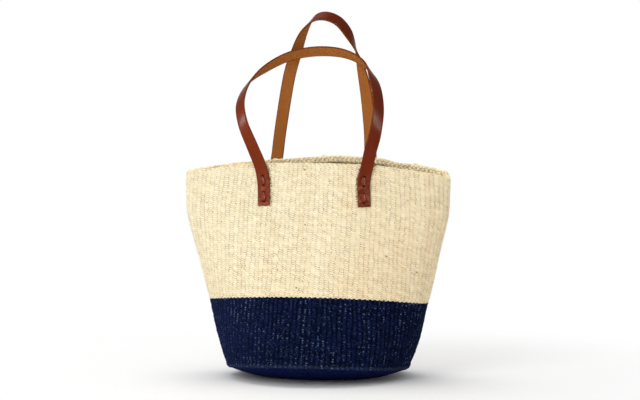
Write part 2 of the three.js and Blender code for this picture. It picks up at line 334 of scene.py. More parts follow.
def tab_frame(handle, leg, drop):
    """The place under the middle of a strap end, the way across it and the way out of the wall."""
    def across_at(d):
        splay = handle["root_splay"] * max(1 - d / splay_reach, 0) ** 2
        return leg * (foot_half_spacing + splay) + handle["tab_lean"] * max(d - first_hole_drop, 0)

    point = on_wall(handle, across_at(drop), drop)
    along = unit(on_wall(handle, across_at(drop), max(drop - tangent_step, 0))
                 - on_wall(handle, across_at(drop), drop + tangent_step))
    across = -handle["side"] * unit(on_wall(handle, across_at(drop) + tangent_step, drop)
                                    - on_wall(handle, across_at(drop) - tangent_step, drop))
    return point, across, unit(np.cross(across, along))


def tab_station(handle, leg, drop):
    point, across, out = tab_frame(handle, leg, drop)
    free = max(1 - drop / first_hole_drop, 0)
    distance = clearance + strap_thickness / 2 + strap_lift * free**2
    level = np.array([-handle["side"], 0, 0])
    return point + out * distance, unit(across + (level - across) * free)


def root_line(handle):
    return (tab_station(handle, 1, 0)[0] + tab_station(handle, -1, 0)[0]) / 2


for handle in handles:
    print(handle["name"], "strap leaves the wall at height", round(float(root_line(handle)[2]), 4))

# %% [markdown]
# ## Meshes from grids
# Most pieces here are grids of points bent into a shape, so one helper makes a mesh from a grid. A
# primitive with modifiers could start them, but a grid from code knows the rib and the row of every
# point. It may close on itself in either direction, and it keeps a UV map, named "weave" or "strap",
# that runs from 0 to 1 round the piece and from 0 to 1 along or up it. The materials count stitches
# with it.

# %% Grids to meshes
def grid_faces(rows, columns, loop_rows=False, loop_columns=True):
    """The corner numbers of every face of a grid, with the row and column that each one starts from."""
    r = np.arange(rows if loop_rows else rows - 1)
    c = np.arange(columns if loop_columns else columns - 1)
    row, column = (a.ravel() for a in np.meshgrid(r, c, indexing="ij"))
    above = (row + 1) % rows
    beside = (column + 1) % columns
    corners = [row * columns + column, row * columns + beside,
               above * columns + beside, above * columns + column]
    return np.stack(corners, axis=1), row, column


def mesh_from(name, points, faces, uvs, uv_name):
    """A smooth mesh object from points, four-sided faces and one UV pair for each face corner."""
    used, compact = np.unique(faces, return_inverse=True)
    faces = compact.reshape(faces.shape)
    points = points[used]
    mesh = bpy.data.meshes.new(name)
    mesh.vertices.add(len(points))
    mesh.vertices.foreach_set("co", points.astype(np.float32).ravel())
    mesh.loops.add(faces.size)
    mesh.loops.foreach_set("vertex_index", faces.astype(np.int32).ravel())
    mesh.polygons.add(len(faces))
    starts = np.arange(0, faces.size, faces.shape[1], dtype=np.int32)
    mesh.polygons.foreach_set("loop_start", starts)
    mesh.uv_layers.new(name=uv_name)
    mesh.uv_layers[uv_name].uv.foreach_set("vector", uvs.astype(np.float32).reshape(-1))
    mesh.update(calc_edges=True)
    mesh.validate()
    mesh.shade_smooth()
    piece = bpy.data.objects.new(name, mesh)
    bpy.context.scene.collection.objects.link(piece)
    return piece


def corner_uvs(row, column, across, up):
    """UV pairs of each face's corners, where a step along the grid is a step in across or up."""
    u = np.stack([column, column + 1, column + 1, column], axis=1) * across
    v = np.stack([row, row, row + 1, row + 1], axis=1) * up
    return np.stack([u, v], axis=-1)


print("3 rings of 4 points make", len(grid_faces(3, 4)[0]), "faces")

# %% [markdown]
# ## The twined weave
# In twining, two strands pass in front of and behind each warp and cross between warps. Each stitch is
# a short slanted roll that lies over one warp. Stitches of one warp stack into a rib. The relief is
# made as geometry, so the ribs show on the outline too. Threads woven one by one would be truer, but
# they would take millions of faces, so the strands of each stitch are left to the material's bump.

# %% The relief of the stitches
stitch_uneven = 0.24
rib_uneven = 0.05
ridge_shape = 0.7
roll_depth = 0.92
cream_flatter = 0.9
gap_beside = 0.3
gap_at_ends = 0.8
end_dip = 0.4
rng = np.random.default_rng(7)
stitch_swell = rng.normal(0, stitch_uneven, (rib_count + 1, row_count + 2))
rib_swell = rng.normal(0, rib_uneven, rib_count + 1)


def stitch_height(rib, row):
    """How far the weave stands at a place in ribs and rows, 0 on top of a stitch and lower round it."""
    beside = rib % 1 - 0.5
    slanted = row + slant * beside
    within = slanted % 1 - 0.5
    ridge = np.cos(math.pi * beside) ** ridge_shape
    roll = np.sqrt(np.maximum(1 - (2 * within) ** 2 * roll_depth, 0))
    flatter = 1 - cream_flatter * np.clip((row - navy_rows) / 2, 0, 1)
    between = rib_relief * (1 - ridge) * (gap_beside + gap_at_ends * (1 - roll)) * flatter
    which_rib = np.floor(rib).astype(int) % rib_count
    which_row = np.clip(np.floor(slanted).astype(int), 0, row_count)
    swell = stitch_swell[which_rib, which_row] + rib_swell[which_rib]
    return swell * mm * ridge - between - stitch_relief * (1 - roll) * (end_dip + ridge)


print("stitches with a swell of their own", stitch_swell.size)

# %% The slack of the fabric
leather_height = 0.29
leather_places = [(side * foot_half_spacing, leather_height) for side in (-1, 1)]
slack_depth = 1.1 * mm
slack_reach = 0.045
slack_start = 0.05
slack_waves = [(3, 21, 0, 1), (5, -33, 1.3, 0.7), (9, 47, 0, 0.5)]
smallest_length = 1e-12


def slack(points):
    """Slow swells of hand-woven cloth, fading to nothing where the leather lies on it."""
    x, y, z = points[..., 0], points[..., 1], points[..., 2]
    turn = np.arctan2(y / base_radius, x / mouth_half_width)
    swell = sum(size * np.sin(round_bag * turn + up_bag * z + start)
                for round_bag, up_bag, start, size in slack_waves)
    for place_x, place_z in leather_places:
        away = ((x - place_x) ** 2 + (z - place_z) ** 2) / slack_reach**2
        swell = swell * (1 - np.exp(-away))
    low_fade = np.clip((z - seam_height_front) / slack_start, 0, 1)
    return slack_depth / 2 * swell * low_fade


def outward_normals(points, flip=1.0):
    """Normals of a grid that closes round its columns."""
    along = np.roll(points, -1, axis=1) - np.roll(points, 1, axis=1)
    up = np.gradient(points, axis=0)
    normal = np.cross(along, up) * flip
    return normal / np.maximum(np.linalg.norm(normal, axis=-1, keepdims=True), smallest_length)


print("slack at the front of the mouth", round(float(slack(draped(1.0, -math.pi / 2))) / mm, 2), "mm")

# %% The pull of the laces
lace_pulls = [4.2 * mm, 4.2 * mm, 3.8 * mm, 1.6 * mm]
lace_pull_reach = 2.6 * mm
lace_pull_depth = 6 * mm


def pulled_in(points):
    """The fabric dips where a thong goes through it."""
    for handle in handles:
        for leg, _ in legs:
            for drop, pull in zip(hole_drops, lace_pulls):
                place, _, out = tab_frame(handle, leg, drop)
                away = points - place
                level = (away * out).sum(axis=-1, keepdims=True)
                flat_away = ((away - out * level) ** 2).sum(axis=-1, keepdims=True)
                near = np.abs(level) < lace_pull_depth
                points = points - near * out * pull * np.exp(-flat_away / lace_pull_reach**2)
    return points


print("the deepest lace pulls the wall in by", round(max(lace_pulls) / mm, 1), "mm")

# %% [markdown]
# ## Walls and colour change
# The navy and the cream wall are one grid of points that is divided along the change of yarn. Where
# the colours meet, each rib keeps one more rounded navy stitch, which gives the toothed line. A mask in
# one material could change the colour too, but two pieces can stand for the frame's two wall nodes.

# %% Ribs that wander
drift_size = 0.035
drift_fade = 12
drift_count = 9
drift_waves = [
    (rng.integers(6, 45), rng.uniform(0.05, 0.45), rng.uniform(0, 2 * math.pi))
    for _ in range(drift_count)
]


def drift(ribs, row):
    """How far each rib strays sideways at a row, in ribs, and nothing at the seam and at the rim."""
    ends = np.clip(min(row, row_count - row) / drift_fade, 0, 1)
    waves = [np.sin(2 * math.pi * round_bag * ribs / rib_count + up_bag * row + start)
             for round_bag, up_bag, start in drift_waves]
    return drift_size * ends * np.sum(waves, axis=0)


def strayed(share, columns):
    """The angles of the columns at a share, moved by the drift of their ribs."""
    even = turns_at(share, columns)
    spare = 3 * columns // rib_count
    longer = np.concatenate([even[-spare:] - 2 * math.pi, even, even[:spare] + 2 * math.pi])
    numbers = np.arange(columns)
    moved = numbers + drift(numbers * rib_count / columns, share * row_count) * columns / rib_count
    return np.interp(moved, np.arange(-spare, columns + spare), longer)


half_way_up = drift(np.arange(rib_count), row_count / 2)
print("ribs stray by up to", round(float(np.abs(half_way_up).max()), 2), "of a rib half way up")

# %% The woven outside
tooth_height = 1.05
tooth_middle = 0.5
seam_swell = 0.9 * mm
seam_middle = 0.8
seam_spread = 0.8
rim_fade_rows = 1.5
rim_relief = 0.3


def wall_grid(columns, steps, inset=0.0):
    """Points on the wall for evenly spaced shares, with the rib and row numbers of each."""
    shares = np.linspace(0, 1, steps + 1)
    turns = np.array([strayed(share, columns) for share in shares])
    points = draped(shares[:, None], turns, inset)
    ribs = np.broadcast_to(np.arange(columns) * rib_count / columns, turns.shape)
    rows = np.broadcast_to(shares[:, None] * row_count, turns.shape)
    return points, ribs, rows


def colour_edge(rib):
    """The row at which navy ends, higher in the middle of each rib."""
    round_top = np.maximum(np.cos(math.pi * (rib % 1 - 0.5)), 0)
    return navy_rows + tooth_height * (round_top - tooth_middle)


def outside_wall():
    columns = rib_count * columns_per_rib
    steps = row_count * steps_per_row
    points, ribs, rows = wall_grid(columns, steps)
    normals = outward_normals(points)
    fade = np.clip((row_count - rows) / rim_fade_rows, 0, 1)
    relief = stitch_height(ribs, rows) * blend_between(rim_relief, 1, fade)
    seam_row = seam_swell * np.exp(-(((rows - seam_middle) / seam_spread) ** 2))
    height = weave_lift + relief + slack(points) + seam_row
    points = pulled_in(points + normals * height[..., None])
    faces, row, column = grid_faces(steps + 1, columns)
    uvs = corner_uvs(row, column, 1 / columns, 1 / steps)
    middle_rib = (column + 0.5) * rib_count / columns
    middle_row = (row + 0.5) * row_count / steps
    navy = middle_row < colour_edge(middle_rib)
    flat = points.reshape(-1, 3)
    walls = []
    for name, chosen in (("navy_wall", navy), ("cream_wall", ~navy)):
        walls.append(mesh_from(name, flat, faces[chosen], uvs[chosen], "weave"))
    return walls, points[-1]


(navy_wall, cream_wall), rim_line = outside_wall()
print("navy wall", len(navy_wall.data.polygons), "faces, cream wall", len(cream_wall.data.polygons))

# %% [markdown]
# ## Dye and painted shade on the fibre
# Beside the strap ends the cream fibre is painted brown, partly red-brown dye rubbed off the leather
# and partly painted shade. It shows most beside their inner edges and fades in below the rim, and the
# holes where the thongs go through are darkest, as painted shade. The material could work this out from
# places alone, but the straps lean and bend, so the mesh keeps one number for each point, and the cream
# yarn reads it.

# %% Where leather dye and painted shade lie on the fibre
# Brown beside the strap ends: partly dye rubbed off the leather and partly painted shade.
dye_shade_steps = 30
dye_shade_slice = 0.6
dye_shade_fade_down = 0.5
dye_shade_at_rim = 0.45
dye_shade_reach = 3.0 * mm
dye_shade_start = 14 * mm
dye_shade_inner = 1.2
dye_shade_outer = 0.25
# Painted shade in the holes where the thongs go through.
hole_shade = 2.0
hole_shade_reach = 2.4 * mm


def dye_and_shade(points):
    """How brown the cream fibre is at each point: up to 1.2 beside the strap ends, dye and painted
    shade, and 2 in the holes, painted shade.
    """
    brown = np.zeros(len(points))
    for handle in handles:
        for leg, _ in legs:
            for drop in np.linspace(0, tab_length, dye_shade_steps):
                place, across, _ = tab_frame(handle, leg, drop)
                away = points - place
                level = across * np.sign(across[0])
                beyond = np.abs(away @ level) - strap_width / 2
                inner = np.where((away @ level) * leg < 0, dye_shade_inner, dye_shade_outer)
                near = np.abs(away[:, 2]) < dye_shade_slice * tab_length / dye_shade_steps
                near = near & (away[:, 1] * handle["side"] > -wall_thickness / 2)
                down = 1 - dye_shade_fade_down * drop / tab_length
                amount = inner * down * blend_between(dye_shade_at_rim, 1, ease(drop / dye_shade_start))
                fade = np.exp(-((np.maximum(beyond, 0) / dye_shade_reach) ** 3))
                brown = np.maximum(brown, near * amount * fade)
            for drop in hole_drops:
                place = tab_frame(handle, leg, drop)[0]
                flat_away = np.hypot(points[:, 0] - place[0], points[:, 2] - place[2])
                near = np.abs(points[:, 1] - place[1]) < 2 * wall_thickness
                fade = np.exp(-((flat_away / hole_shade_reach) ** 4))
                brown = np.maximum(brown, near * hole_shade * fade)
    return brown


def keep_numbers(piece, name, numbers_of):
    """Stores one number for each point of a mesh, for its material to read."""
    flat = np.empty(3 * len(piece.data.vertices), dtype=np.float32)
    piece.data.vertices.foreach_get("co", flat)
    numbers = numbers_of(flat.reshape(-1, 3).astype(float))
    layer = piece.data.attributes.new(name, "FLOAT", "POINT")
    layer.data.foreach_set("value", numbers.astype(np.float32))
    print(piece.name, name, "on", int((numbers > 0.1).sum()), "points")


keep_numbers(cream_wall, "dye_and_shade", dye_and_shade)

# %% [markdown]
# ## The inside and the rim edge
# The fabric is as thick as its warps, so it has an inner face too, which shows from above. At the rim
# the ends of the warps are turned in, which leaves a soft rounded edge between the two faces. A
# Solidify modifier could give the thickness, but it would copy the relief of the outside inwards.

# %% The woven inside
edge_round = 1.6 * mm
edge_steps = 5
inside_steps_per_row = 2
warp_end_uneven = 0.7
bead_height = 0.8
bead_swell = 0.4


def inside_wall(outer_top):
    columns = rib_count * columns_per_rib
    steps = row_count * inside_steps_per_row
    inner, ribs, rows = wall_grid(columns, steps, wall_thickness)
    normals = outward_normals(inner)
    inner = inner + normals * (slack(inner) - stitch_height(ribs, rows))[..., None]
    middle = (outer_top + inner[-1]) / 2
    half = (outer_top - inner[-1]) / 2
    angles = np.linspace(0, math.pi, edge_steps + 1)[:-1, None, None]
    warp_ends = rng.normal(0, warp_end_uneven, rib_count + 1)[ribs[-1].astype(int)]
    beads = (bead_height + warp_ends + bead_swell * np.cos(math.pi * (ribs[-1] % 1 - 0.5)))[:, None]
    lift = np.array([0, 0, edge_round])
    arc = middle + half * np.cos(angles) + lift * beads * np.sin(angles)
    points = np.concatenate([arc, inner[::-1]])
    faces, row, column = grid_faces(len(points), columns)
    uvs = corner_uvs(row, column, 1 / columns, 1 / steps)
    uvs[..., 1] = 1 - np.maximum(uvs[..., 1] - edge_steps / steps, 0)
    below = uvs[..., 1].mean(axis=1) * row_count < navy_rows
    flat = points.reshape(-1, 3)
    linings = []
    for name, chosen in (("navy_wall_inside", below), ("cream_wall_inside", ~below)):
        linings.append(mesh_from(name, flat, faces[chosen], uvs[chosen], "weave"))
    return linings


navy_inside, cream_inside = inside_wall(rim_line)
print("inside faces", len(navy_inside.data.polygons), len(cream_inside.data.polygons))

# %% [markdown]
# ## The base
# The base is worked outwards from its middle in rings of the same stitch, with warps added as it
# grows, so each ring has its own number of stitches. A flat disc with a bump could pass from the front,
# but the base bows upwards to the seam, where a thicker row turns the fabric into the wall, and its
# rings show at the lower edge. Only its flat middle touches the floor.

# %% The woven base
base_rows = 44
base_stitch = 7.3 * mm
halving_steps = 30
least_stitches = 6
ring_shift = 0.37
ring_gap = 0.4


def base_surface(part, turn, inset, lift):
    """A point of the base. Part runs from its middle, 0, to the seam, 1."""
    x = part * (base_radius - inset) * np.cos(turn)
    y = part * (base_radius - inset) * np.sin(turn)
    low, high = np.zeros(x.shape), np.ones(x.shape)
    for _ in range(halving_steps):
        reach = (low + high) / 2
        wide = blend_between(rest_half_width, base_radius, reach)
        deep = blend_between(rest_half_depth, base_radius, reach)
        beyond = (x / wide) ** 2 + (y / deep) ** 2 > 1
        low, high = np.where(beyond, reach, low), np.where(beyond, high, reach)
    seam = seam_height(np.arctan2(y / deep, x / wide))
    return np.stack([x, y, seam * low**bowl_shape + lift], axis=-1)


def base_relief(part, even):
    """The relief of the rings, with stitches of about the same length in each."""
    row = part * base_rows
    ring = np.minimum(np.floor(row), base_rows - 1)
    around = 2 * math.pi * base_radius * (ring + 0.5) / base_rows
    rib = even * np.maximum(np.round(around / base_stitch), least_stitches) + ring_shift * ring
    ridge = np.cos(math.pi * (rib % 1 - 0.5)) ** ridge_shape
    roll = np.sqrt(np.maximum(1 - (2 * (row % 1 - 0.5)) ** 2 * roll_depth, 0))
    return -ring_gap * rib_relief * (1 - ridge) - stitch_relief * (1 - roll)


print("base rings about", round(base_radius / base_rows / mm, 2), "mm wide")

# %% The two faces of the base
seam_ring = 0.985
seam_ring_spread = 0.012
centre_rings = 0.1


def base_side(name, steps_per_ring, columns, inset, lift, under):
    steps = base_rows * steps_per_ring
    part = np.maximum(np.linspace(0, 1, steps + 1), centre_rings / base_rows)[:, None]
    turn = turns_at(0.0, columns)[None, :]
    even = (np.arange(columns) / columns)[None, :]
    points = base_surface(part, turn, inset, lift)
    seam_row = seam_swell * np.exp(-(((part - seam_ring) / seam_ring_spread) ** 2))
    height = base_relief(part, even) + (seam_row if under else 0)
    points = points + outward_normals(points, 1 if under else -1) * height[..., None]
    points[..., 2] = np.maximum(points[..., 2], 0.0)
    faces, row, column = grid_faces(steps + 1, columns)
    uvs = corner_uvs(row, column, 1 / columns, 1 / steps)
    if not under:
        faces, uvs = faces[:, ::-1], uvs[:, ::-1]
    return mesh_from(name, points.reshape(-1, 3), faces, uvs, "weave")


base_under = base_side("base_underside", 3, rib_count * columns_per_rib, 0.0, 0.0, True)
base_top = base_side("base_inside", 2, rib_count * 2, wall_thickness, wall_thickness, False)
print("base faces", len(base_under.data.polygons), len(base_top.data.polygons))

# %% [markdown]
# ## The plait inside the rim
# A three-strand plait is sewn round the inside of the rim. Each strand weaves sideways and over and
# under in every repeat, which is a pair of sines along the path. A plain roll with a bump would look
# flat where the plait makes the outline, so each strand is a tube. Whole repeats close the loop.

# %% Tubes and merged meshes
# No tube here runs exactly in this direction, so it gives every ring of points a side to start from.
tube_tilt = [0.13, 0.21, 0.97]


def tube(line, radius, sides, closed=False):
    """Points, faces and UVs of a round tube along a line. Its UV runs round it and along it."""
    ahead, behind = np.roll(line, -1, axis=0), np.roll(line, 1, axis=0)
    if not closed:
        ahead[-1], behind[0] = line[-1], line[0]
    along = ahead - behind
    along /= np.maximum(np.linalg.norm(along, axis=1, keepdims=True), smallest_length)
    side = np.cross(along, tube_tilt)
    side /= np.maximum(np.linalg.norm(side, axis=1, keepdims=True), smallest_length)
    up = np.cross(side, along)
    angle = np.linspace(0, 2 * math.pi, sides + 1)[:-1, None]
    ring = side[:, None] * np.cos(angle) + up[:, None] * np.sin(angle)
    points = line[:, None] + ring * np.reshape(radius, (-1, 1, 1))
    faces, row, column = grid_faces(len(line), sides, loop_rows=closed)
    uvs = corner_uvs(row, column, 1 / sides, 1 / len(line))
    return points.reshape(-1, 3), faces[:, ::-1], uvs[:, ::-1]


def merged(name, parts, uv_name):
    """One mesh from several lots of points, faces and UVs."""
    points, faces, uvs, count = [], [], [], 0
    for some_points, some_faces, some_uvs in parts:
        points.append(some_points)
        faces.append(some_faces + count)
        uvs.append(some_uvs)
        count += len(some_points)
    return mesh_from(name, np.concatenate(points), np.concatenate(faces), np.concatenate(uvs), uv_name)


def even_loop(points, count):
    """The points of a closed line, spread evenly by length, and that length."""
    closed = np.vstack([points, points[:1]])
    travelled = np.concatenate([[0], np.cumsum(np.linalg.norm(np.diff(closed, axis=0), axis=1))])
    wanted = np.linspace(0, travelled[-1], count + 1)[:-1]
    even = np.stack([np.interp(wanted, travelled, closed[:, i]) for i in range(3)], axis=1)
    return even, travelled[-1]


print("a tube of 3 rings and 8 sides has", len(tube(np.eye(3), 1.0, 8)[1]), "faces")

# %% The plait
braid_radius = 3.6 * mm
braid_rise = 0.6 * mm
strand_radius = 2.6 * mm
plait_repeat = 21 * mm
plait_points = 2400
corner_rounds = 12
tip_length = 20 * mm
tip_push = 5 * mm
plait_press = 0.9 * mm
rim_samples = 1440
strand_count = 3
strand_sides = 8
weave_aside = 0.55
weave_over = 1.35
strand_swell = 0.22
strand_uneven = 0.1
strand_wander = 0.37


def plait_path():
    turn = np.linspace(0, 2 * math.pi, rim_samples + 1)[:-1]
    rim = draped(1.0, turn)
    along = np.roll(rim, -1, axis=0) - np.roll(rim, 1, axis=0)
    inward = np.stack([-along[:, 1], along[:, 0], np.zeros(len(turn))], axis=1)
    inward /= np.linalg.norm(inward, axis=1, keepdims=True)
    line = rim + inward * (wall_thickness + clearance + braid_radius - plait_press)
    line[:, 2] += braid_rise - braid_radius
    keep = (line[:, 1] * np.sin(turn) > 0) & (np.abs(line[:, 1]) > braid_radius / 2)
    line, length = even_loop(line[keep], plait_points)
    for _ in range(corner_rounds):
        line = (np.roll(line, 1, axis=0) + line + np.roll(line, -1, axis=0)) / 3
    reach = np.abs(line[:, 0])
    tip = np.clip((reach - reach.max() + tip_length) / tip_length, 0, 1) ** 2
    line[:, 0] += np.sign(line[:, 0]) * tip * tip_push
    return line, length


def rim_plait():
    line, length = plait_path()
    repeats = round(length / plait_repeat)
    along = np.roll(line, -1, axis=0) - np.roll(line, 1, axis=0)
    along /= np.linalg.norm(along, axis=1, keepdims=True)
    side = np.cross(along, [0, 0, 1.0])
    strands = []
    for strand in range(strand_count):
        phase = 2 * math.pi * (repeats * np.arange(len(line)) / len(line) + strand / strand_count)
        offset = side * (weave_aside * strand_radius * np.sin(2 * phase))[:, None]
        offset[:, 2] += weave_over * strand_radius * np.sin(phase)
        swell = 1 + strand_swell * np.cos(2 * phase)
        swell = swell + strand_uneven * np.sin(strand_wander * phase + strand)
        strands.append(tube(line + offset, strand_radius * swell, strand_sides, closed=True))
    return merged("rim_plait", strands, "weave"), length


plait, plait_length = rim_plait()
print("plait", round(plait_length, 3), "m round,", len(plait.data.polygons), "faces")

# %% [markdown]
# ## The straps
# Each handle is one strap. A flat strap bends easily about its width and hardly at all in its own
# plane, so its route is a line of places with the way that the grain side faces at each. One long
# ribbon runs from a lower end up the wall, over in a loop and down to the other end. It is drawn
# along that route with a section of its own: a slightly crowned grain side, rounded cut edges and a
# flat flesh side. A curve with a bevel would be quicker, but Blender then chooses the twist.

# %% The strap's route
loop_steps = 190
tab_step = 1.2 * mm
spline_step = 1e-3


def smooth_route(points, part):
    """A smooth line through all the points, at a part of its way."""
    points = np.array(points, float)
    ends = np.vstack([2 * points[0] - points[1], points, 2 * points[-1] - points[-2]])
    place = part * (len(points) - 1)
    i = min(int(place), len(points) - 2)
    t = place - i
    a, b, c, d = ends[i:i + 4]
    bend = 2 * a - 5 * b + 4 * c - d
    twist = 3 * b - a - 3 * c + d
    return 0.5 * (2 * b + (c - a) * t + bend * t**2 + twist * t**3)


def loop_stations(handle):
    root = root_line(handle)
    spacing = foot_half_spacing + handle["root_splay"]
    places = [(a * spacing, root[1] + b * handle["lean"], root[2] + u * handle["drop"])
              for a, b, u, *_ in handle["route"]]
    grains = [station[3:] for station in handle["route"]]
    stations = []
    for part in np.linspace(0, 1, loop_steps + 1):
        point = smooth_route(places, part)
        ahead = smooth_route(places, min(part + spline_step, 1))
        behind = smooth_route(places, max(part - spline_step, 0))
        stations.append((point, unit(np.cross(ahead - behind, smooth_route(grains, part)))))
    return stations


def strap_stations(handle):
    """The whole strap, from the lower end at the left to the lower end at the right."""
    drops = np.arange(tab_length, 0.9 * tab_step, -tab_step)
    left = [tab_station(handle, -1, drop) for drop in drops]
    right = [tab_station(handle, 1, drop) for drop in drops[::-1]]
    return left + loop_stations(handle) + [(point, -across) for point, across in right]


for handle in handles:
    print(handle["name"], "strap runs over", len(strap_stations(handle)), "stations")

# %% The strap's section
edge_radius = 1.2 * mm
grain_crown = 0.35 * mm
face_columns = 12
edge_columns = 4


def flat_section(width, thickness, radius, crown, columns):
    """Places across and out of a strip: its outer face, right edge, inner face and left edge."""
    high = thickness / 2
    flat = np.linspace(-1, 1, columns + 1) * (width / 2 - radius)
    angle = np.linspace(math.pi / 2, -math.pi / 2, edge_columns + 1)[1:-1]
    edge_across = width / 2 - radius + radius * np.cos(angle)
    edge_out = high * np.sin(angle) * (1 - crown / high / 2) - crown / 2
    across = np.concatenate([flat, edge_across, flat[::-1], -edge_across[::-1]])
    outer = high - crown * (flat / (width / 2)) ** 2
    out = np.concatenate([outer, edge_out, np.full(columns + 1, -high), edge_out[::-1]])
    return across, out


def ribbon(stations, section, widths=1.0, depths=1.0):
    """A strip along stations of a place and a way across: points, faces, UVs, each face's column."""
    places = np.array([place for place, _ in stations])
    along = np.gradient(places, axis=0)
    along /= np.linalg.norm(along, axis=1, keepdims=True)
    across = np.array([way for _, way in stations])
    across -= along * (across * along).sum(axis=1, keepdims=True)
    across /= np.linalg.norm(across, axis=1, keepdims=True)
    out = np.cross(across, along)
    a, b = section
    wide = a * np.broadcast_to(widths, len(places))[:, None]
    deep = b * np.broadcast_to(depths, len(places))[:, None]
    points = places[:, None] + across[:, None] * wide[..., None] + out[:, None] * deep[..., None]
    faces, row, column = grid_faces(len(places), len(a))
    return points, faces, corner_uvs(row, column, 1 / len(a), 1 / (len(places) - 1)), column


def close_ends(piece, material=0):
    """Fills the open ends of a strip, so that it is a solid body."""
    work = bmesh.new()
    work.from_mesh(piece.data)
    open_edges = [edge for edge in work.edges if edge.is_boundary]
    for face in bmesh.ops.holes_fill(work, edges=open_edges)["faces"]:
        face.material_index = material
        face.smooth = False
    bmesh.ops.recalc_face_normals(work, faces=work.faces)
    work.to_mesh(piece.data)
    work.free()


strap_section = flat_section(strap_width, strap_thickness, edge_radius, grain_crown, face_columns)
print("points round a strap", len(strap_section[0]))

# %% The bend and the holes
settle_rounds = 30
settle_reach = 9
settle_pull = 0.6
cutter_reach = 6 * mm
cutter_sides = 20


def settled(stations, root_at):
    """Evens out the bend where the wall part of the strap meets the loop."""
    places = np.array([place for place, _ in stations])
    ways = np.array([way for _, way in stations])
    numbers = np.arange(len(places))
    weight = np.zeros(len(places))
    for root in root_at:
        weight = np.maximum(weight, np.exp(-(((numbers - root) / settle_reach) ** 2)))
    for _ in range(settle_rounds):
        for values in (places, ways):
            even = (np.roll(values, 1, axis=0) + np.roll(values, -1, axis=0)) / 2
            values += (even - values) * (weight * settle_pull)[:, None]
    return list(zip(places, ways))


def hole_places(handle):
    """The middle of every lacing hole in a strap, with the way out of the wall there."""
    for leg, _ in legs:
        for drop in hole_drops:
            frame_out = tab_frame(handle, leg, drop)[2]
            yield tab_station(handle, leg, drop)[0], frame_out


def hole_cutter(handle):
    parts = []
    for place, out in hole_places(handle):
        ends = np.array([place - out * cutter_reach, place + out * cutter_reach])
        parts.append(tube(ends, hole_diameter / 2, cutter_sides))
    cutter = merged("hole_cutter", parts, "strap")
    close_ends(cutter)
    return cutter


def cut_holes(piece, cutter):
    change = piece.modifiers.new("holes", "BOOLEAN")
    change.object = cutter
    change.solver = "EXACT"
    change.operation = "DIFFERENCE"
    change.material_mode = "INDEX"
    bpy.context.view_layer.objects.active = piece
    bpy.ops.object.modifier_apply(modifier=change.name)
    bpy.data.objects.remove(cutter)


print("holes in a strap", len(list(hole_places(front_handle))))

# %% The straps
dimple_depth = 1.1 * mm
dimple_reach = 4.2 * mm
dimple_level = 3 * mm
wander_reach = 20
width_wander = 0.03
grain, cut_edge, flesh = 0, 1, 2


def strap(handle):
    stations = strap_stations(handle)
    tab_count = (len(stations) - loop_steps - 1) // 2
    stations = settled(stations, [tab_count, len(stations) - tab_count])
    window = 2 * wander_reach + 1
    uneven = rng.normal(0, 1, len(stations) + window - 1)
    wander = np.convolve(uneven, np.ones(window) / window, "valid")
    points, faces, uvs, column = ribbon(stations, strap_section, 1 + width_wander * wander)
    for place, out in hole_places(handle):
        away = points - place
        level = (away * out).sum(axis=-1, keepdims=True)
        flat_away = np.linalg.norm(away - out * level, axis=-1, keepdims=True)
        near = np.abs(level) < dimple_level
        points = points - near * out * dimple_depth * np.exp(-((flat_away / dimple_reach) ** 2))
    piece = mesh_from(handle["name"] + "_strap_leather", points.reshape(-1, 3), faces, uvs, "strap")
    side = np.full(len(faces), cut_edge, dtype=np.int32)
    side[column < face_columns] = grain
    first_flesh = face_columns + edge_columns
    side[(column >= first_flesh) & (column < first_flesh + face_columns)] = flesh
    for _ in (grain, cut_edge, flesh):
        piece.data.materials.append(None)
    piece.data.polygons.foreach_set("material_index", side)
    close_ends(piece, cut_edge)
    cut_holes(piece, hole_cutter(handle))
    return piece


straps = {handle["name"]: strap(handle) for handle in handles}
for name, piece in straps.items():
    print(name, "strap", len(piece.data.polygons), "faces")

# %% [markdown]
# ## The laces
# Each strap end is held by one thong. It starts at a knot inside, comes out through the top hole, lies
# over the strap as a stitch, goes back in, crosses to the third hole inside, and makes a second stitch
# below. Two loose stitches would look the same from the front, but nothing would hold them. The thong
# is drawn as a line of drops and levels with small round corners. It was folded along its middle to
# thread it, so it has two humps, and its stitches lean and are widest in the middle.

# %% The line of a thong
lace_turn = 1.1 * mm
lace_offset = 1.2 * mm
corner_steps = 5
stitch_sink = 0.3 * mm
stitch_bulge = 0.5 * mm
bulge_start = 0.35
outside_level = clearance + strap_thickness + lace_thickness / 2 - stitch_sink
inside_level = -(wall_thickness + 2 * clearance + patch_thickness + lace_thickness / 2)


def rounded_line(corners, radius):
    """A line through corners in a plane, each turned with an arc-like curve."""
    line = [np.array(corners[0], float)]
    for before, corner, after in zip(corners, corners[1:], corners[2:]):
        corner = np.array(corner, float)
        start = corner + unit(np.array(before) - corner) * radius
        end = corner + unit(np.array(after) - corner) * radius
        for part in np.linspace(0, 1, corner_steps + 1):
            line.append(start * (1 - part) ** 2 + 2 * corner * part * (1 - part) + end * part**2)
    line.append(np.array(corners[-1], float))
    return line


def lace_line():
    """Drops and levels along the thong, from the upper knot to the lower one."""
    first, second, third, fourth = hole_drops
    bulge = outside_level + stitch_bulge
    corners = [
        (first + lace_offset, inside_level - lace_bend),
        (first + lace_offset, outside_level),
        (blend_between(first, second, bulge_start), bulge),
        (blend_between(first, second, 1 - bulge_start), bulge),
        (second - lace_offset, outside_level),
        (second - lace_offset, inside_level),
        (third + lace_offset, inside_level),
        (third + lace_offset, outside_level),
        (blend_between(third, fourth, bulge_start), bulge),
        (blend_between(third, fourth, 1 - bulge_start), bulge),
        (fourth - lace_offset, outside_level),
        (fourth - lace_offset, inside_level - lace_bend),
    ]
    return rounded_line(corners, lace_turn)


thong_length = np.linalg.norm(np.diff(np.array(lace_line()), axis=0), axis=1).sum()
print("a thong is about", round(float(thong_length), 3), "m long between its knots")

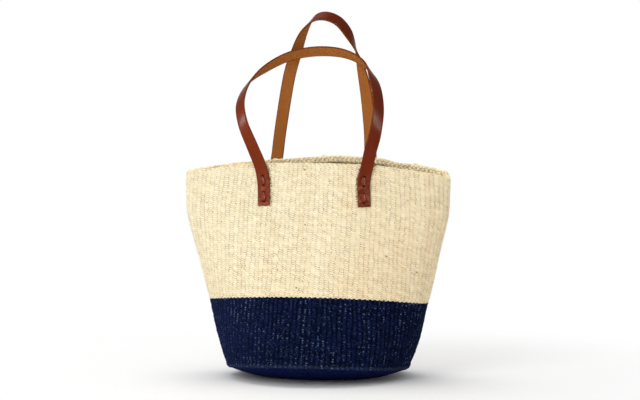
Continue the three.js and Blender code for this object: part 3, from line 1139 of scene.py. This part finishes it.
# %% Thongs and knots
thong_edge = 0.8 * mm
thong_columns = 8
fold_height = 0.9 * mm
fold_share = 0.4
knot_diameter = 7 * mm
knot_strand = 1.15 * mm
knot_gap = 0.6 * mm
knot_points = 48
knot_sides = 8
knot_height = 1.2
stitch_lean = 0.16
thong_tilt = 0.3
end_width = 0.88
middle_width = 0.6
bunching = 2.3


def folded_section():
    """A thong that was folded along its middle, with a groove between two humps."""
    across, out = flat_section(lace_width, lace_thickness, thong_edge, 0.0, thong_columns)
    top = slice(thong_columns + 1)
    hump = fold_height * np.sin(math.pi * np.abs(across[top]) / (lace_width / 2)) ** 2
    out[top] += hump - fold_share * fold_height
    return across, out


def knot_line(middle, across, up, out):
    """A trefoil, which is how a plain overhand knot winds."""
    t = np.linspace(0, 2 * math.pi, knot_points + 1)[:-1]
    a = np.sin(t) + 2 * np.sin(2 * t)
    b = np.cos(t) - 2 * np.cos(2 * t)
    c = -np.sin(3 * t)
    size = (knot_diameter / 2 - knot_strand) / 3
    return middle + size * (a[:, None] * across + b[:, None] * up + knot_height * c[:, None] * out)


def lace(handle, leg, leg_name):
    stations, widths, depths = [], [], []
    middles = [(hole_drops[0] + hole_drops[1]) / 2, (hole_drops[2] + hole_drops[3]) / 2]
    for drop, level in lace_line():
        point, across, out = tab_frame(handle, leg, drop)
        nearest = min(middles, key=lambda middle: abs(drop - middle))
        point = point + across * stitch_lean * (drop - nearest) * (level > 0)
        from_middle = abs(drop - nearest) / (stitch_length / 2)
        widths.append(end_width + middle_width * max(1 - from_middle**2, 0) * (level > 0))
        depths.append(1 if level > clearance else bunching)
        tilt = across + out * thong_tilt * math.sin(3 * drop / stitch_length)
        stations.append((point + out * level, -tilt))
    section = folded_section()
    points, faces, uvs, _ = ribbon(stations, section, widths, depths)
    parts = [(points.reshape(-1, 3), faces, uvs)]
    for drop in (hole_drops[0] + lace_offset, hole_drops[3] - lace_offset):
        point, across, out = tab_frame(handle, leg, drop)
        middle = point + out * (inside_level - lace_bend - knot_gap)
        line = knot_line(middle, across, unit(np.cross(out, across)), out)
        parts.append(tube(line, knot_strand, knot_sides, closed=True))
    return merged(f"{handle['name']}_{leg_name}_lace_thong", parts, "strap")


laces = {}
for handle in handles:
    for leg, leg_name in legs:
        laces[handle["name"], leg_name] = lace(handle, leg, leg_name)
print("laces", len(laces), "with", len(laces["front", "left"].data.polygons), "faces each")

# %% [markdown]
# ## The patches behind the laces
# A leather patch inside the wall keeps the knots from pulling through the weave. The photograph doesn't
# show it. It is a plain piece of split leather with rounded corners. A flat plate would stand off the
# curved wall, so it is a strip like the strap and takes the wall's curve from the same helpers.

# %% The patches
patch_corner = 5 * mm
patch_steps = 28
patch_edge = 0.8 * mm
patch_columns = 8


def patch(handle, leg, leg_name):
    level = -(wall_thickness + clearance + patch_thickness / 2)
    top = hole_drops[0] - patch_margin
    low = hole_drops[3] + patch_margin
    stations, widths = [], []
    for part in (1 - np.cos(np.linspace(0, math.pi, patch_steps + 1))) / 2:
        drop = blend_between(low, top, part)
        point, across, out = tab_frame(handle, leg, drop)
        stations.append((point + out * level, across))
        inner = patch_corner - max(min(drop - top, low - drop, patch_corner), 0)
        widths.append(1 - 2 * (patch_corner - math.sqrt(patch_corner**2 - inner**2)) / patch_width)
    section = flat_section(patch_width, patch_thickness, patch_edge, 0.0, patch_columns)
    points, faces, uvs, _ = ribbon(stations, section, np.array(widths))
    name = f"{handle['name']}_{leg_name}_backing"
    piece = mesh_from(name, points.reshape(-1, 3), faces, uvs, "strap")
    close_ends(piece)
    return piece


patches = {}
for handle in handles:
    for leg, leg_name in legs:
        patches[handle["name"], leg_name] = patch(handle, leg, leg_name)
print("patches", len(patches))

# %% [markdown]
# ## Stray fibres
# Sisal is a coarse leaf fibre and never lies quite smooth. Short ends stand off the fabric, which shows
# against the light at the outline and as pale flecks on the navy yarn. Blender's hair could grow them,
# but it isn't a mesh, and each fibre here has to be one. So each is a thin three-sided tube with a
# little bend, and all of one colour are one mesh.

# %% Stray fibres
fibre_points = 5
fibre_sides = 3
fibre_radius = 0.07 * mm
fibre_clear = 0.1 * mm
fibre_arch = 0.4
fibre_nudge = 1e-3
fibre_rise = 0.6
fibre_bend = 0.5
fibre_shortest = 0.35
fibre_lowest = 0.05
cream_fibre_count = 2600
pale_fibre_count = 500
navy_margin = 0.02


def fibres(name, count, low_share, high_share, length, stand):
    share = rng.uniform(low_share, high_share, count)
    turn = rng.uniform(0, 2 * math.pi, count)
    root = draped(share, turn)
    around = draped(share, turn + fibre_nudge) - draped(share, turn - fibre_nudge)
    upward = draped(np.minimum(share + fibre_nudge, 1), turn) - draped(share - fibre_nudge, turn)
    around /= np.linalg.norm(around, axis=1, keepdims=True)
    upward /= np.linalg.norm(upward, axis=1, keepdims=True)
    outward = np.cross(around, upward)
    angle = rng.uniform(0, 2 * math.pi, count)[:, None]
    flat = around * np.cos(angle) + upward * np.sin(angle) * fibre_rise
    lift = rng.uniform(fibre_lowest, stand, count)[:, None]
    bend = rng.normal(0, fibre_bend, count)[:, None]
    reach = rng.uniform(fibre_shortest, 1, count)[:, None] * length
    t = np.linspace(0, 1, fibre_points)[:, None, None]
    curl = around * np.sin(angle) - upward * np.cos(angle)
    line = root + t * reach * (flat + outward * lift) + t**2 * reach * bend * curl
    line = line + t * (1 - t) * reach * outward * fibre_arch + outward * fibre_clear
    ring_angle = np.arange(fibre_sides) * 2 * math.pi / fibre_sides
    ring = np.stack([curl * math.cos(a) + outward * math.sin(a) for a in ring_angle])
    radius = fibre_radius * (1.1 - t)
    points = line[:, None] + ring[None] * radius[:, None]
    points = points.transpose(2, 0, 1, 3).reshape(-1, 3)
    faces, row, column = grid_faces(fibre_points, fibre_sides)
    each = fibre_points * fibre_sides
    all_faces = (faces[None] + np.arange(count)[:, None, None] * each).reshape(-1, 4)
    uvs = corner_uvs(row, column, 1 / fibre_sides, 1 / fibre_points)
    all_uvs = np.broadcast_to(uvs, (count, *uvs.shape)).reshape(-1, 4, 2)
    return mesh_from(name, points, all_faces, all_uvs, "weave")


navy_top = (navy_rows + 0.5) / row_count
cream_fibres = fibres("cream_fibres", cream_fibre_count, navy_top, 1.0, length=8 * mm, stand=0.6)
pale_fibres = fibres("pale_fibres_on_navy", pale_fibre_count, navy_margin, navy_top - navy_margin,
                     length=5 * mm, stand=0.3)
print("fibres", len(cream_fibres.data.polygons) + len(pale_fibres.data.polygons), "faces")

# %% [markdown]
# ## Materials
# Every surface is made from maths and noise, because a picture would blur close up and repeat. Nodes
# could be placed one by one in the editor, but a weave takes dozens of them. One small class lets
# shader sums be written as sums, and one method adds any node. What is the same all over a surface is
# set on the shader itself.

# %% Sums with sockets
class Socket:
    """A node's output that can stand in a sum."""

    def __init__(self, look, output):
        self.look = look
        self.output = output

    def maths(self, operation, *others):
        inputs = {number: value for number, value in enumerate((self, *others))}
        return self.look.node("ShaderNodeMath", {"operation": operation}, inputs)

    def __add__(self, other):
        if self.output.type == "VECTOR":
            return self.look.node("ShaderNodeVectorMath", {"operation": "ADD"}, {0: self, 1: other})
        return self.maths("ADD", other)

    def __sub__(self, other):
        return self.maths("SUBTRACT", other)

    def __rsub__(self, other):
        return self.maths("MULTIPLY_ADD", -1.0, other)

    def __mul__(self, other):
        if self.output.type == "VECTOR":
            return self.look.node("ShaderNodeVectorMath", {"operation": "MULTIPLY"}, {0: self, 1: other})
        return self.maths("MULTIPLY", other)

    def __pow__(self, other):
        return self.maths("POWER", other)

    def __mod__(self, other):
        return self.maths("FLOORED_MODULO", other)

    __radd__ = __add__
    __rmul__ = __mul__

    def floor(self):
        return self.maths("FLOOR")

    def cos(self):
        return self.maths("COSINE")

    def size(self):
        """The same number without its sign."""
        return self.maths("ABSOLUTE")

    def least(self, other):
        return self.maths("MINIMUM", other)

    def most(self, other):
        return self.maths("MAXIMUM", other)

    def step(self, low, high):
        """0 below low, 1 above high and smooth between them."""
        inputs = {"Value": self, "From Min": low, "From Max": high}
        return self.look.node("ShaderNodeMapRange", {"interpolation_type": "SMOOTHSTEP"}, inputs)


print("a socket can take", [name for name in vars(Socket) if name[0] != "_"])

# %% A material under construction
class Look:
    """A material under construction."""

    def __init__(self, name):
        self.material = bpy.data.materials.new(name)
        self.material.use_nodes = True
        self.tree = self.material.node_tree
        self.tree.nodes.clear()

    def node(self, kind, settings=None, inputs=None, output=0):
        """Adds a node. Settings are its own options, inputs are numbers, colours or sockets."""
        made = self.tree.nodes.new(kind)
        for key, value in (settings or {}).items():
            setattr(made, key, value)
        for key, value in (inputs or {}).items():
            if isinstance(value, Socket):
                self.tree.links.new(value.output, made.inputs[key])
            elif isinstance(value, tuple) and len(value) == 3 and made.inputs[key].type == "RGBA":
                made.inputs[key].default_value = (*value, 1)
            else:
                made.inputs[key].default_value = value
        return Socket(self, made.outputs[output]) if made.outputs else None

    def mix(self, factor, a, b):
        """A colour between two others."""
        return self.node("ShaderNodeMix", {"data_type": "RGBA"}, {0: factor, 6: a, 7: b}, 2)

    def parts(self, vector):
        return [self.node("ShaderNodeSeparateXYZ", None, {0: vector}, i) for i in range(3)]

    def vector(self, x, y):
        return self.node("ShaderNodeCombineXYZ", None, {0: x, 1: y})

    def uv(self, name):
        return self.node("ShaderNodeUVMap", {"uv_map": name})

    def place(self):
        return self.node("ShaderNodeTexCoord", None, None, "Object")

    def noise(self, vector, scale, detail=2.0, rough=0.5):
        inputs = {"Vector": vector, "Scale": scale, "Detail": detail, "Roughness": rough}
        return self.node("ShaderNodeTexNoise", None, inputs)

    def chance(self, vector):
        """An even random number for each whole-number place."""
        return self.node("ShaderNodeTexWhiteNoise", {"noise_dimensions": "3D"}, {"Vector": vector})

    def looked_at(self):
        """1 where the camera looks, also in a mirror or through glass, and 0 for light that falls."""
        kinds = ("Is Camera Ray", "Is Glossy Ray", "Is Transmission Ray")
        rays = [self.node("ShaderNodeLightPath", None, None, kind) for kind in kinds]
        return (rays[0] + rays[1] + rays[2]).least(1.0)

    def surface(self, colour, rough, height, depth, **constants):
        """Ends the material. Height times depth is the bump, in metres."""
        bump = self.node("ShaderNodeBump", None, {"Height": height, "Distance": depth})
        inputs = {"Base Color": colour, "Roughness": rough, "Normal": bump}
        inputs.update({key.replace("_", " "): value for key, value in constants.items()})
        shader = self.node("ShaderNodeBsdfPrincipled", None, inputs)
        self.node("ShaderNodeOutputMaterial", None, {"Surface": shader})
        return self.material


print("a look can make", [name for name in vars(Look) if name[0] != "_"])

# %% [markdown]
# ## The yarn
# Each stitch has its own tone, since every handful of fibre differs, and fine streaks run along it.
# Dark dots of painted shade lie in the hollows where the two strands cross between the ribs, and the
# strands take turns at lying deeper, so the dots alternate. A noise could speckle the wall, but its dots
# wouldn't sit between the stitches, so the shader counts ribs and rows from the UV map with the same
# sums as the relief.

# %% Stitches in the shader
def stitches(look, uneven, on_base=False):
    """The numbers and places of the stitches, the same sums as in the relief."""
    u, v, _ = look.parts(look.uv("weave"))
    if on_base:
        row = v * base_rows
        ring = row.floor()
        around = (ring + 0.5) * (2 * math.pi * base_radius / base_rows / base_stitch)
        rib = u * (around + 0.5).floor().most(least_stitches) + ring * ring_shift
        slanted = row
    else:
        row = v * row_count
        rib = u * rib_count
        rib = rib + (look.noise(look.vector(rib * 0.7, row * 0.9), 1.0, 1.0) - 0.5) * uneven
        slanted = row + ((rib % 1.0) - 0.5) * slant
    beside = (rib % 1.0) - 0.5
    within = (slanted % 1.0) - 0.5
    which = look.vector(rib.floor(), slanted.floor())
    return rib, slanted, beside, within, which


def streaks(look, rib, slanted):
    """Fine fibres that run along each stitch."""
    return look.noise(look.vector(rib * 2.0, slanted * 9.0), 1.0, 3.0, 0.6)


def pits(look, beside, within, which, line):
    """1 in the hollows round a stitch and 0 on top of it, for painted shade and for the bump. Line is
    how far ribs are parted all along, which is painted shade too.
    """
    side = beside.size().step(0.28, 0.5)
    end = within.size().step(0.2, 0.48)
    deep = look.chance(which + look.vector(0.5, 0.5)) ** 2.0
    rib_number, row_number, _ = look.parts(which)
    strand = (rib_number + row_number) % 2.0
    crossing = end * (deep * 1.7 + strand * (deep + 0.35) * 0.9)
    return (side * (crossing + line) + end * (deep * 0.45 + 0.1)).least(1.0)


print("the shader counts", rib_count, "ribs and", row_count, "rows")

# %% [markdown]
# ## Cream and navy
# The undyed cream is warmer to the right and towards the bottom, a few dark flecks lie in it, and it
# reads the number for the dye and painted shade beside the straps. Painted shade makes the navy almost
# black in its hollows. It is bluer at the left, and pale flecks on top of its stitches are partly pale
# fibre and partly painted highlight, with a painted highlight along the seam row. One material with two
# dyes could serve for both, but their wear differs, so each yarn has a function of its own. In each pair
# of cream tones, the first is the cool one at the left and the second the warm one at the right.

# %% Cream yarn
cream_pale = ((0.97, 0.925, 0.70), (0.98, 0.865, 0.605))
cream_deep = ((0.90, 0.82, 0.57), (0.88, 0.73, 0.47))
cream_streak = (0.62, 0.45, 0.24)
cream_rib = (0.74, 0.52, 0.25)
# Painted shade in the hollows between the stitches.
cream_pit_shade = (0.27, 0.12, 0.025)
cream_fleck = (0.2, 0.08, 0.02)
# Beside the straps: dye and painted shade along the edges, and painted shade in the holes.
dye_and_edge_shade = (0.17, 0.072, 0.035)
hole_shade_colour = (0.03, 0.009, 0.004)


def yarn_cream(name):
    look = Look(name)
    rib, slanted, beside, within, which = stitches(look, 0.85)
    tone = look.chance(which)
    fine = streaks(look, rib, slanted)
    x, _, z = look.parts(look.place())
    band = look.noise(look.vector(rib * 0.3, slanted * 0.03), 1.0, 2.0)
    low = z.step(0.28, 0.1)
    warm = x.step(-0.2, 0.24) * 0.75 + low * 0.25 + band.step(0.35, 0.68) * 0.25
    warm = warm + low * x.step(0.04, 0.18) * 0.3
    colour = look.mix(tone, look.mix(warm, *cream_deep), look.mix(warm, *cream_pale))
    colour = look.mix(fine.step(0.62, 0.3) * 0.18, colour, cream_streak)
    rib_tone = look.chance(which * (1.0, 0.0, 0.0)) * 0.16
    colour = look.mix(rib_tone, colour, cream_rib)
    pit = pits(look, beside, within, which, band.step(0.5, 0.65) * 0.04)
    # Painted shade darkens the hollows round each stitch and the gaps between ribs.
    colour = look.mix(pit * 0.95, colour, cream_pit_shade)
    flecked = look.chance(which + look.vector(0.75, 0.25)).step(0.9955, 0.997)
    fleck = flecked * (1 - within.size().step(0.15, 0.5)) * (1 - beside.size().step(0.1, 0.3))
    colour = look.mix(fleck * 0.85, colour, cream_fleck)
    ragged = look.noise(look.place(), 700.0, 2.0).step(0.35, 0.6)
    # Painted brown beside the strap ends, partly dye and partly painted shade, and painted shade in the
    # holes.
    brown = look.node("ShaderNodeAttribute", {"attribute_name": "dye_and_shade"}, None, "Fac")
    dye_and_shade_colour = look.mix(brown.step(1.3, 1.8), dye_and_edge_shade, hole_shade_colour)
    colour = look.mix((brown * 1.3 - ragged).step(0.0, 0.6), colour, dye_and_shade_colour)
    height = fine * 0.3 - pit
    return look.surface(colour, tone * 0.1 + 0.75, height, 0.25 * mm, Specular_IOR_Level=0.08)


cream_look = yarn_cream("cream_sisal")
print("cream yarn is made of", len(cream_look.node_tree.nodes), "nodes")

# %% Navy yarn
navy_on_wall = ((0.0016, 0.0036, 0.018), (0.0052, 0.011, 0.048))
navy_on_base = ((0.004, 0.008, 0.05), (0.007, 0.015, 0.09))
navy_at_left = (0.009, 0.017, 0.07)
# Painted shade in the hollows between the stitches.
navy_pit_shade = (0.0006, 0.0012, 0.006)
navy_glint = (0.17, 0.22, 0.33)


def yarn_navy(name, on_base=False):
    look = Look(name)
    rib, slanted, beside, within, which = stitches(look, 0.4, on_base)
    tone = look.chance(which)
    fine = streaks(look, rib, slanted)
    x, _, _ = look.parts(look.place())
    colour = look.mix(tone, *(navy_on_base if on_base else navy_on_wall))
    left = x.step(-0.02, -0.14)
    colour = look.mix(left * 0.4, colour, navy_at_left)
    pit = pits(look, beside, within, which, left * -0.5 + 1.0)
    # Painted shade darkens the hollows round each stitch and the gaps between ribs.
    colour = look.mix(pit * 0.9, colour, navy_pit_shade)
    # Pale flecks on top of the stitches: partly pale fibre and partly painted highlight on the crests.
    on_top = (1 - beside.size().step(0.02, 0.2)) * (1 - within.size().step(0.08, 0.36))
    glint = look.chance(which + look.vector(0.25, 0.75)).step(0.55, 0.95) * on_top * 0.8
    glint = glint + look.noise(look.vector(rib * 2.3, slanted * 1.7), 1.0, 1.0).step(0.63, 0.76) * 0.6
    column = look.noise(look.vector(rib * 0.4, slanted * 0.05), 1.0, 1.0).step(0.4, 0.6)
    amount = glint * (column * 0.75 + 0.25) * (0.2 if on_base else 0.85)
    # A painted highlight along the seam row at the bottom of the wall.
    if not on_base:
        amount = amount + slanted.step(1.7, 0.9) * (fine.step(0.4, 0.6) * 0.12 + 0.01)
    colour = look.mix(amount, colour, navy_glint)
    height = fine * 0.3 - pit
    return look.surface(colour, fine * 0.2 + 0.7, height, 0.5 * mm, Specular_IOR_Level=0.01)


navy_look = yarn_navy("navy_sisal")
base_look = yarn_navy("navy_sisal_base", True)
print("navy yarn is made of", len(navy_look.node_tree.nodes), "nodes")

# %% Plait and loose fibres
plait_pale = ((0.99, 0.79, 0.45), (0.99, 0.88, 0.6))
# Brown dots of fibre, also used as painted shade on the plait's underside.
plait_dots_and_shade = (0.46, 0.2, 0.065)


def plait_look(name):
    look = Look(name)
    u, v, _ = look.parts(look.uv("weave"))
    fine = look.noise(look.vector(u * 14.0, v * 900.0), 1.0, 3.0)
    _, _, upward = look.parts(look.node("ShaderNodeNewGeometry", None, None, "Normal"))
    # Brown clumps of fibre, with painted shade added on the plait's underside.
    clumps_and_underside_shade = look.noise(look.place(), 560.0, 2.0, 0.6) + upward.step(0.1, -0.8) * 0.07
    colour = look.mix(fine.step(0.3, 0.6), *plait_pale)
    colour = look.mix(clumps_and_underside_shade.step(0.61, 0.69) * 0.65, colour, plait_dots_and_shade)
    height = fine * 0.4 - clumps_and_underside_shade.step(0.5, 0.7)
    return look.surface(colour, fine * 0.2 + 0.7, height, 0.8 * mm, Specular_IOR_Level=0.08)


def fibre_look(name, dark, pale):
    look = Look(name)
    tone = look.noise(look.place(), 160.0, 1.0)
    colour = look.mix(tone.step(0.35, 0.65), dark, pale)
    return look.surface(colour, tone * 0.2 + 0.6, tone, 0.02 * mm)


plait_yarn = plait_look("plaited_sisal")
cream_fibre_look = fibre_look("loose_cream_fibre", (0.75, 0.6, 0.36), (0.97, 0.9, 0.68))
pale_fibre_look = fibre_look("loose_pale_fibre", (0.05, 0.06, 0.1), (0.3, 0.32, 0.38))
print("looks", plait_yarn.name, cream_fibre_look.name, pale_fibre_look.name)

# %% [markdown]
# ## The leather
# The straps are one hide with two sides. The grain side is dyed red-brown, with pores and creases. It
# is darker where hands hold it, in the middle of the strap, and towards the right of the bag, and it is
# scuffed paler towards its laced ends. The flesh side is tan and fibrous, and the cut edges are dark
# and worn. Wear could be placed by height, but the strap moves, so it is placed by how far along the
# strap and how far to the right a point lies, which a swing doesn't change.

# %% The grain side
grain_fresh = (0.195, 0.03, 0.009)
grain_handled = (0.105, 0.014, 0.0035)
grain_crease = (0.1, 0.012, 0.003)
grain_scuff = (0.33, 0.125, 0.07)
grain_pore = (0.06, 0.008, 0.002)


def grain_look(name):
    look = Look(name)
    place = look.place()
    pores = look.noise(place, 1400.0, 2.0, 0.6)
    creases = look.noise(place, 240.0, 4.0, 0.6)
    slow = look.noise(place, 30.0, 3.0)
    x, _, _ = look.parts(place)
    _, v, _ = look.parts(look.uv("strap"))
    from_middle = (v - 0.5).size()
    handled = x.step(-0.07, 0.06) * 0.5 + from_middle.step(0.25, 0.14) * 0.5 + slow.step(0.3, 0.7) * 0.3
    colour = look.mix(handled, grain_fresh, grain_handled)
    colour = look.mix(creases.step(0.55, 0.72) * 0.35, colour, grain_crease)
    scuffed = from_middle.step(0.34, 0.46) * look.noise(place, 150.0, 3.0).step(0.42, 0.62)
    colour = look.mix(scuffed * 0.45, colour, grain_scuff)
    colour = look.mix(pores.step(0.58, 0.7) * 0.45, colour, grain_pore)
    rough = creases * 0.15 + 0.2
    height = pores * 0.35 + creases * 0.65
    return look.surface(colour, rough, height, 0.1 * mm, Specular_IOR_Level=0.04)


grain_side = grain_look("strap_grain")
print("grain side is made of", len(grain_side.node_tree.nodes), "nodes")

# %% Flesh side and cut edges
flesh_tones = ((0.275, 0.082, 0.016), (0.41, 0.15, 0.034))
edge_tones = ((0.12, 0.028, 0.009), (0.25, 0.07, 0.021))
section_round = 0.044
strip_length = 0.56


def flesh_look(name):
    """Tan nap, with fibres laid out in metres round the strip and along it, close to its true size."""
    look = Look(name)
    u, v, _ = look.parts(look.uv("strap"))
    across, along = u * section_round, v * strip_length
    nap = look.noise(look.vector(across * 1800.0, along * 500.0), 1.0, 4.0, 0.65)
    slow = look.noise(look.place(), 45.0, 3.0)
    colour = look.mix(nap * 0.6 + slow * 0.4, *flesh_tones)
    return look.surface(colour, nap * 0.2 + 0.75, nap, 0.3 * mm, Specular_IOR_Level=0.03)


def edge_look(name):
    look = Look(name)
    worn = look.noise(look.place(), 500.0, 3.0)
    colour = look.mix(worn.step(0.35, 0.75), *edge_tones)
    return look.surface(colour, worn * 0.3 + 0.6, worn, 0.2 * mm, Specular_IOR_Level=0.0)


strap_looks = [grain_side, edge_look("strap_edge"), flesh_look("strap_flesh")]
backing_look = flesh_look("backing_leather")
print("strap looks", [look.name for look in strap_looks], "patch look", backing_look.name)

# %% The thongs' leather
thong_tones = ((0.13, 0.014, 0.005), (0.25, 0.04, 0.018))
# Painted highlight on the thong's humps.
thong_highlight = (0.56, 0.21, 0.14)


def lace_look(name):
    """Dark red leather with a painted highlight in patches on its two humps, strongest on one side."""
    look = Look(name)
    fine = look.noise(look.place(), 900.0, 3.0)
    patchy = look.noise(look.place(), 380.0).step(0.35, 0.62)
    round_thong, _, _ = look.parts(look.uv("strap"))
    hump = (round_thong * (12 * math.pi)).cos() * -0.5 + 0.5
    # Painted highlight on the humps, strongest on one side, in patches.
    lit = hump * (round_thong.step(0.2, 0.13) * 0.75 + 0.25) * patchy
    colour = look.mix(fine.step(0.35, 0.7), *thong_tones)
    colour = look.mix(lit * (fine.step(0.2, 0.6) * 0.5 + 0.5), colour, thong_highlight)
    return look.surface(colour, fine * 0.25 + 0.35, fine, 0.15 * mm, Specular_IOR_Level=0.06)


thong_look = lace_look("thong_leather")
print("thong look", thong_look.name)

# %% [markdown]
# ## Dressing the pieces
# Each piece gets its look. It rides on the body that carries it and replaces the plain CAD nodes, so
# that these aren't drawn twice. The inner faces and the fibres stand for nothing of their own and only
# ride along.

# %% Give each piece its look and its body
def dress(piece, looks, slot_name):
    piece.data.materials.clear()
    for look in looks:
        piece.data.materials.append(look)


woven_pieces = (
    (navy_wall, navy_look, "navy_sisal"),
    (navy_inside, navy_look, "navy_sisal"),
    (cream_wall, cream_look, "natural_sisal"),
    (cream_inside, cream_look, "natural_sisal"),
    (base_under, base_look, "navy_sisal"),
    (base_top, base_look, "navy_sisal"),
    (plait, plait_yarn, "natural_sisal"),
    (cream_fibres, cream_fibre_look, "natural_sisal"),
    (pale_fibres, pale_fibre_look, "navy_sisal"),
)
for piece, look, slot_name in woven_pieces:
    dress(piece, [look], slot_name)
    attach(piece, "bag")
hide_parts("lower_wall")
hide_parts("upper_wall")
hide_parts("base")
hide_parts("rim_braid")
for (handle_name, leg_name), piece in laces.items():
    dress(piece, [thong_look], "lace_leather")
    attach(piece, "bag")
    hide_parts(f"{handle_name}_{leg_name}_lace")
for (handle_name, leg_name), piece in patches.items():
    dress(piece, [backing_look], "backing_leather")
    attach(piece, "bag")
    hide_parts(f"{handle_name}_{leg_name}_patch")
print("pieces on the bag", len(woven_pieces) + len(laces) + len(patches))

# %% [markdown]
# ## Straps that bend
# The real strap bends at the rim when the handle falls. Two pieces with a pin between them would show
# a crack there. So each strap is one mesh. Here it gets its three looks and replaces the CAD strap and
# tabs, and the heights just below and above the rim, between which it would bend, are worked out.

# %% Straps get their looks and the heights of their bend
bend_below = 5 * mm
bend_above = 12 * mm
for handle in handles:
    piece = straps[handle["name"]]
    sides = piece.data.polygons
    kept = np.empty(len(sides), dtype=np.int32)
    sides.foreach_get("material_index", kept)
    dress(piece, strap_looks, "strap_leather")
    sides.foreach_set("material_index", kept)
    name = handle["name"]
    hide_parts(f"{name}_strap", f"{name}_left_tab", f"{name}_right_tab")
    root = root_line(handle)
    start = (0, root[1], root[2] - bend_below)
    end = (0, root[1], root[2] + bend_above)
    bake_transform(piece)
    print(name, "strap bends from", round(float(start[2]), 3), "to", round(float(end[2]), 3), "m high")

# %% [markdown]
# ## Camera
# The camera stands a little to the right and looks slightly down, as in the photograph. It could be
# moved by eye, but two angles and a distance say the same in a few numbers. Its lens is given by the
# focal length in pixels of a picture 640 wide, and a small aim sets the bag's place in the picture.

# %% Camera
sensor_width = 36
aim_right = 0.00227
aim_up = 0.0174
azimuth = math.radians(11)
elevation = math.radians(3.5)
distance = 3.5
focal_pixels = 2310
picture_pixels = 640
target = Vector((0, 0, 0.25))
away = Vector((math.sin(azimuth) * math.cos(elevation), -math.cos(azimuth) * math.cos(elevation),
               math.sin(elevation)))
camera_data = bpy.data.cameras.new("camera")
camera_data.sensor_width = sensor_width
camera_data.lens = sensor_width * (focal_pixels / picture_pixels)
camera = bpy.data.objects.new("camera", camera_data)
bpy.context.scene.collection.objects.link(camera)
camera.location = target + away * distance
right = Vector((math.cos(azimuth), math.sin(azimuth), 0))
upright = away.cross(right)
aim = target + right * aim_right + upright * aim_up
camera.rotation_euler = (aim - camera.location).to_track_quat("-Z", "Y").to_euler()
bpy.context.scene.camera = camera
print("camera at", [round(value, 3) for value in camera.location])

# %% [markdown]
# ## Floor
# A pale floor takes the contact shadow. Lamps strong enough to turn it white would bleach the bag too,
# so it turns to plain white away from the bag by its material alone, and only where the camera looks.

# %% Floor
floor_size = 7.0
shadow_reach = 0.28
white_from = 0.75
floor_mesh = bpy.data.meshes.new("floor")
corners = [(-floor_size, -floor_size, 0), (floor_size, -floor_size, 0),
           (floor_size, floor_size, 0), (-floor_size, floor_size, 0)]
floor_mesh.from_pydata(corners, [], [(0, 1, 2, 3)])
floor = bpy.data.objects.new("floor", floor_mesh)
bpy.context.scene.collection.objects.link(floor)


def floor_look():
    look = Look("floor")
    x, y, _ = look.parts(look.place())
    far = ((x * x + y * y) ** 0.5).step(shadow_reach, white_from)
    plain = look.node("ShaderNodeBsdfDiffuse", None, {"Color": (0.9, 0.9, 0.9)})
    white = look.node("ShaderNodeEmission", None, {"Color": (1, 1, 1), "Strength": 1.0})
    factor = far * look.looked_at()
    shader = look.node("ShaderNodeMixShader", None, {0: factor, 1: plain, 2: white})
    look.node("ShaderNodeOutputMaterial", None, {"Surface": shader})
    return look.material


floor_mesh.materials.append(floor_look())
print("floor", 2 * floor_size, "m wide")

# %% [markdown]
# ## Light
# The photograph is lit softly from all sides and a little more from above. A dim sky lights from all
# sides, and the camera sees plain white instead of it. Two broad lamps, one above and one at the front
# left, give the soft shadow below the base. Two small ones, to the left and right, put the long sheens
# on the leather. They could light the bag too, but that would bleach the cream, so they show only as
# sheen.

# %% Sky
world = bpy.data.worlds.new("studio")
bpy.context.scene.world = world
world.use_nodes = True
world.node_tree.nodes.clear()


class WorldLook(Look):
    """The same helpers on the nodes of the world."""

    def __init__(self, tree):
        self.tree = tree


sky = WorldLook(world.node_tree)


def white_sky(strength):
    return sky.node("ShaderNodeBackground", None, {"Color": (1, 1, 1), "Strength": strength})


_, _, height = sky.parts(sky.node("ShaderNodeTexCoord", None, None, "Generated"))
by_height = {0: height.step(0.1, 0.9), 1: white_sky(0.85), 2: white_sky(0.5)}
dim = sky.node("ShaderNodeMixShader", None, by_height)
both = sky.node("ShaderNodeMixShader", None, {0: sky.looked_at(), 1: dim, 2: white_sky(1.0)})
sky.node("ShaderNodeOutputWorld", None, {"Surface": both})
print("sky is made of", len(world.node_tree.nodes), "nodes")

# %% Lamps
lamps_face = Vector((0, 0, 0.3))


def lamp(name, location, size, power, only_sheen=False):
    data = bpy.data.lights.new(name, "AREA")
    data.shape = "SQUARE"
    data.size = size
    data.energy = power
    made = bpy.data.objects.new(name, data)
    bpy.context.scene.collection.objects.link(made)
    made.location = location
    made.rotation_euler = (lamps_face - made.location).to_track_quat("-Z", "Y").to_euler()
    made.visible_camera = False
    made.visible_diffuse = not only_sheen


lamp("top", (-0.5, 0.6, 2.8), 2.0, 36)
lamp("fill", (-1.1, -2.8, 1.7), 1.8, 38)
lamp("left", (-2.08, -0.85, 0.9), 0.5, 55, True)
lamp("right", (1.64, -0.95, 1.65), 0.5, 50, True)
bpy.context.scene.view_settings.view_transform = "Standard"
print("lamps", len(bpy.data.lights))

# %% [markdown]
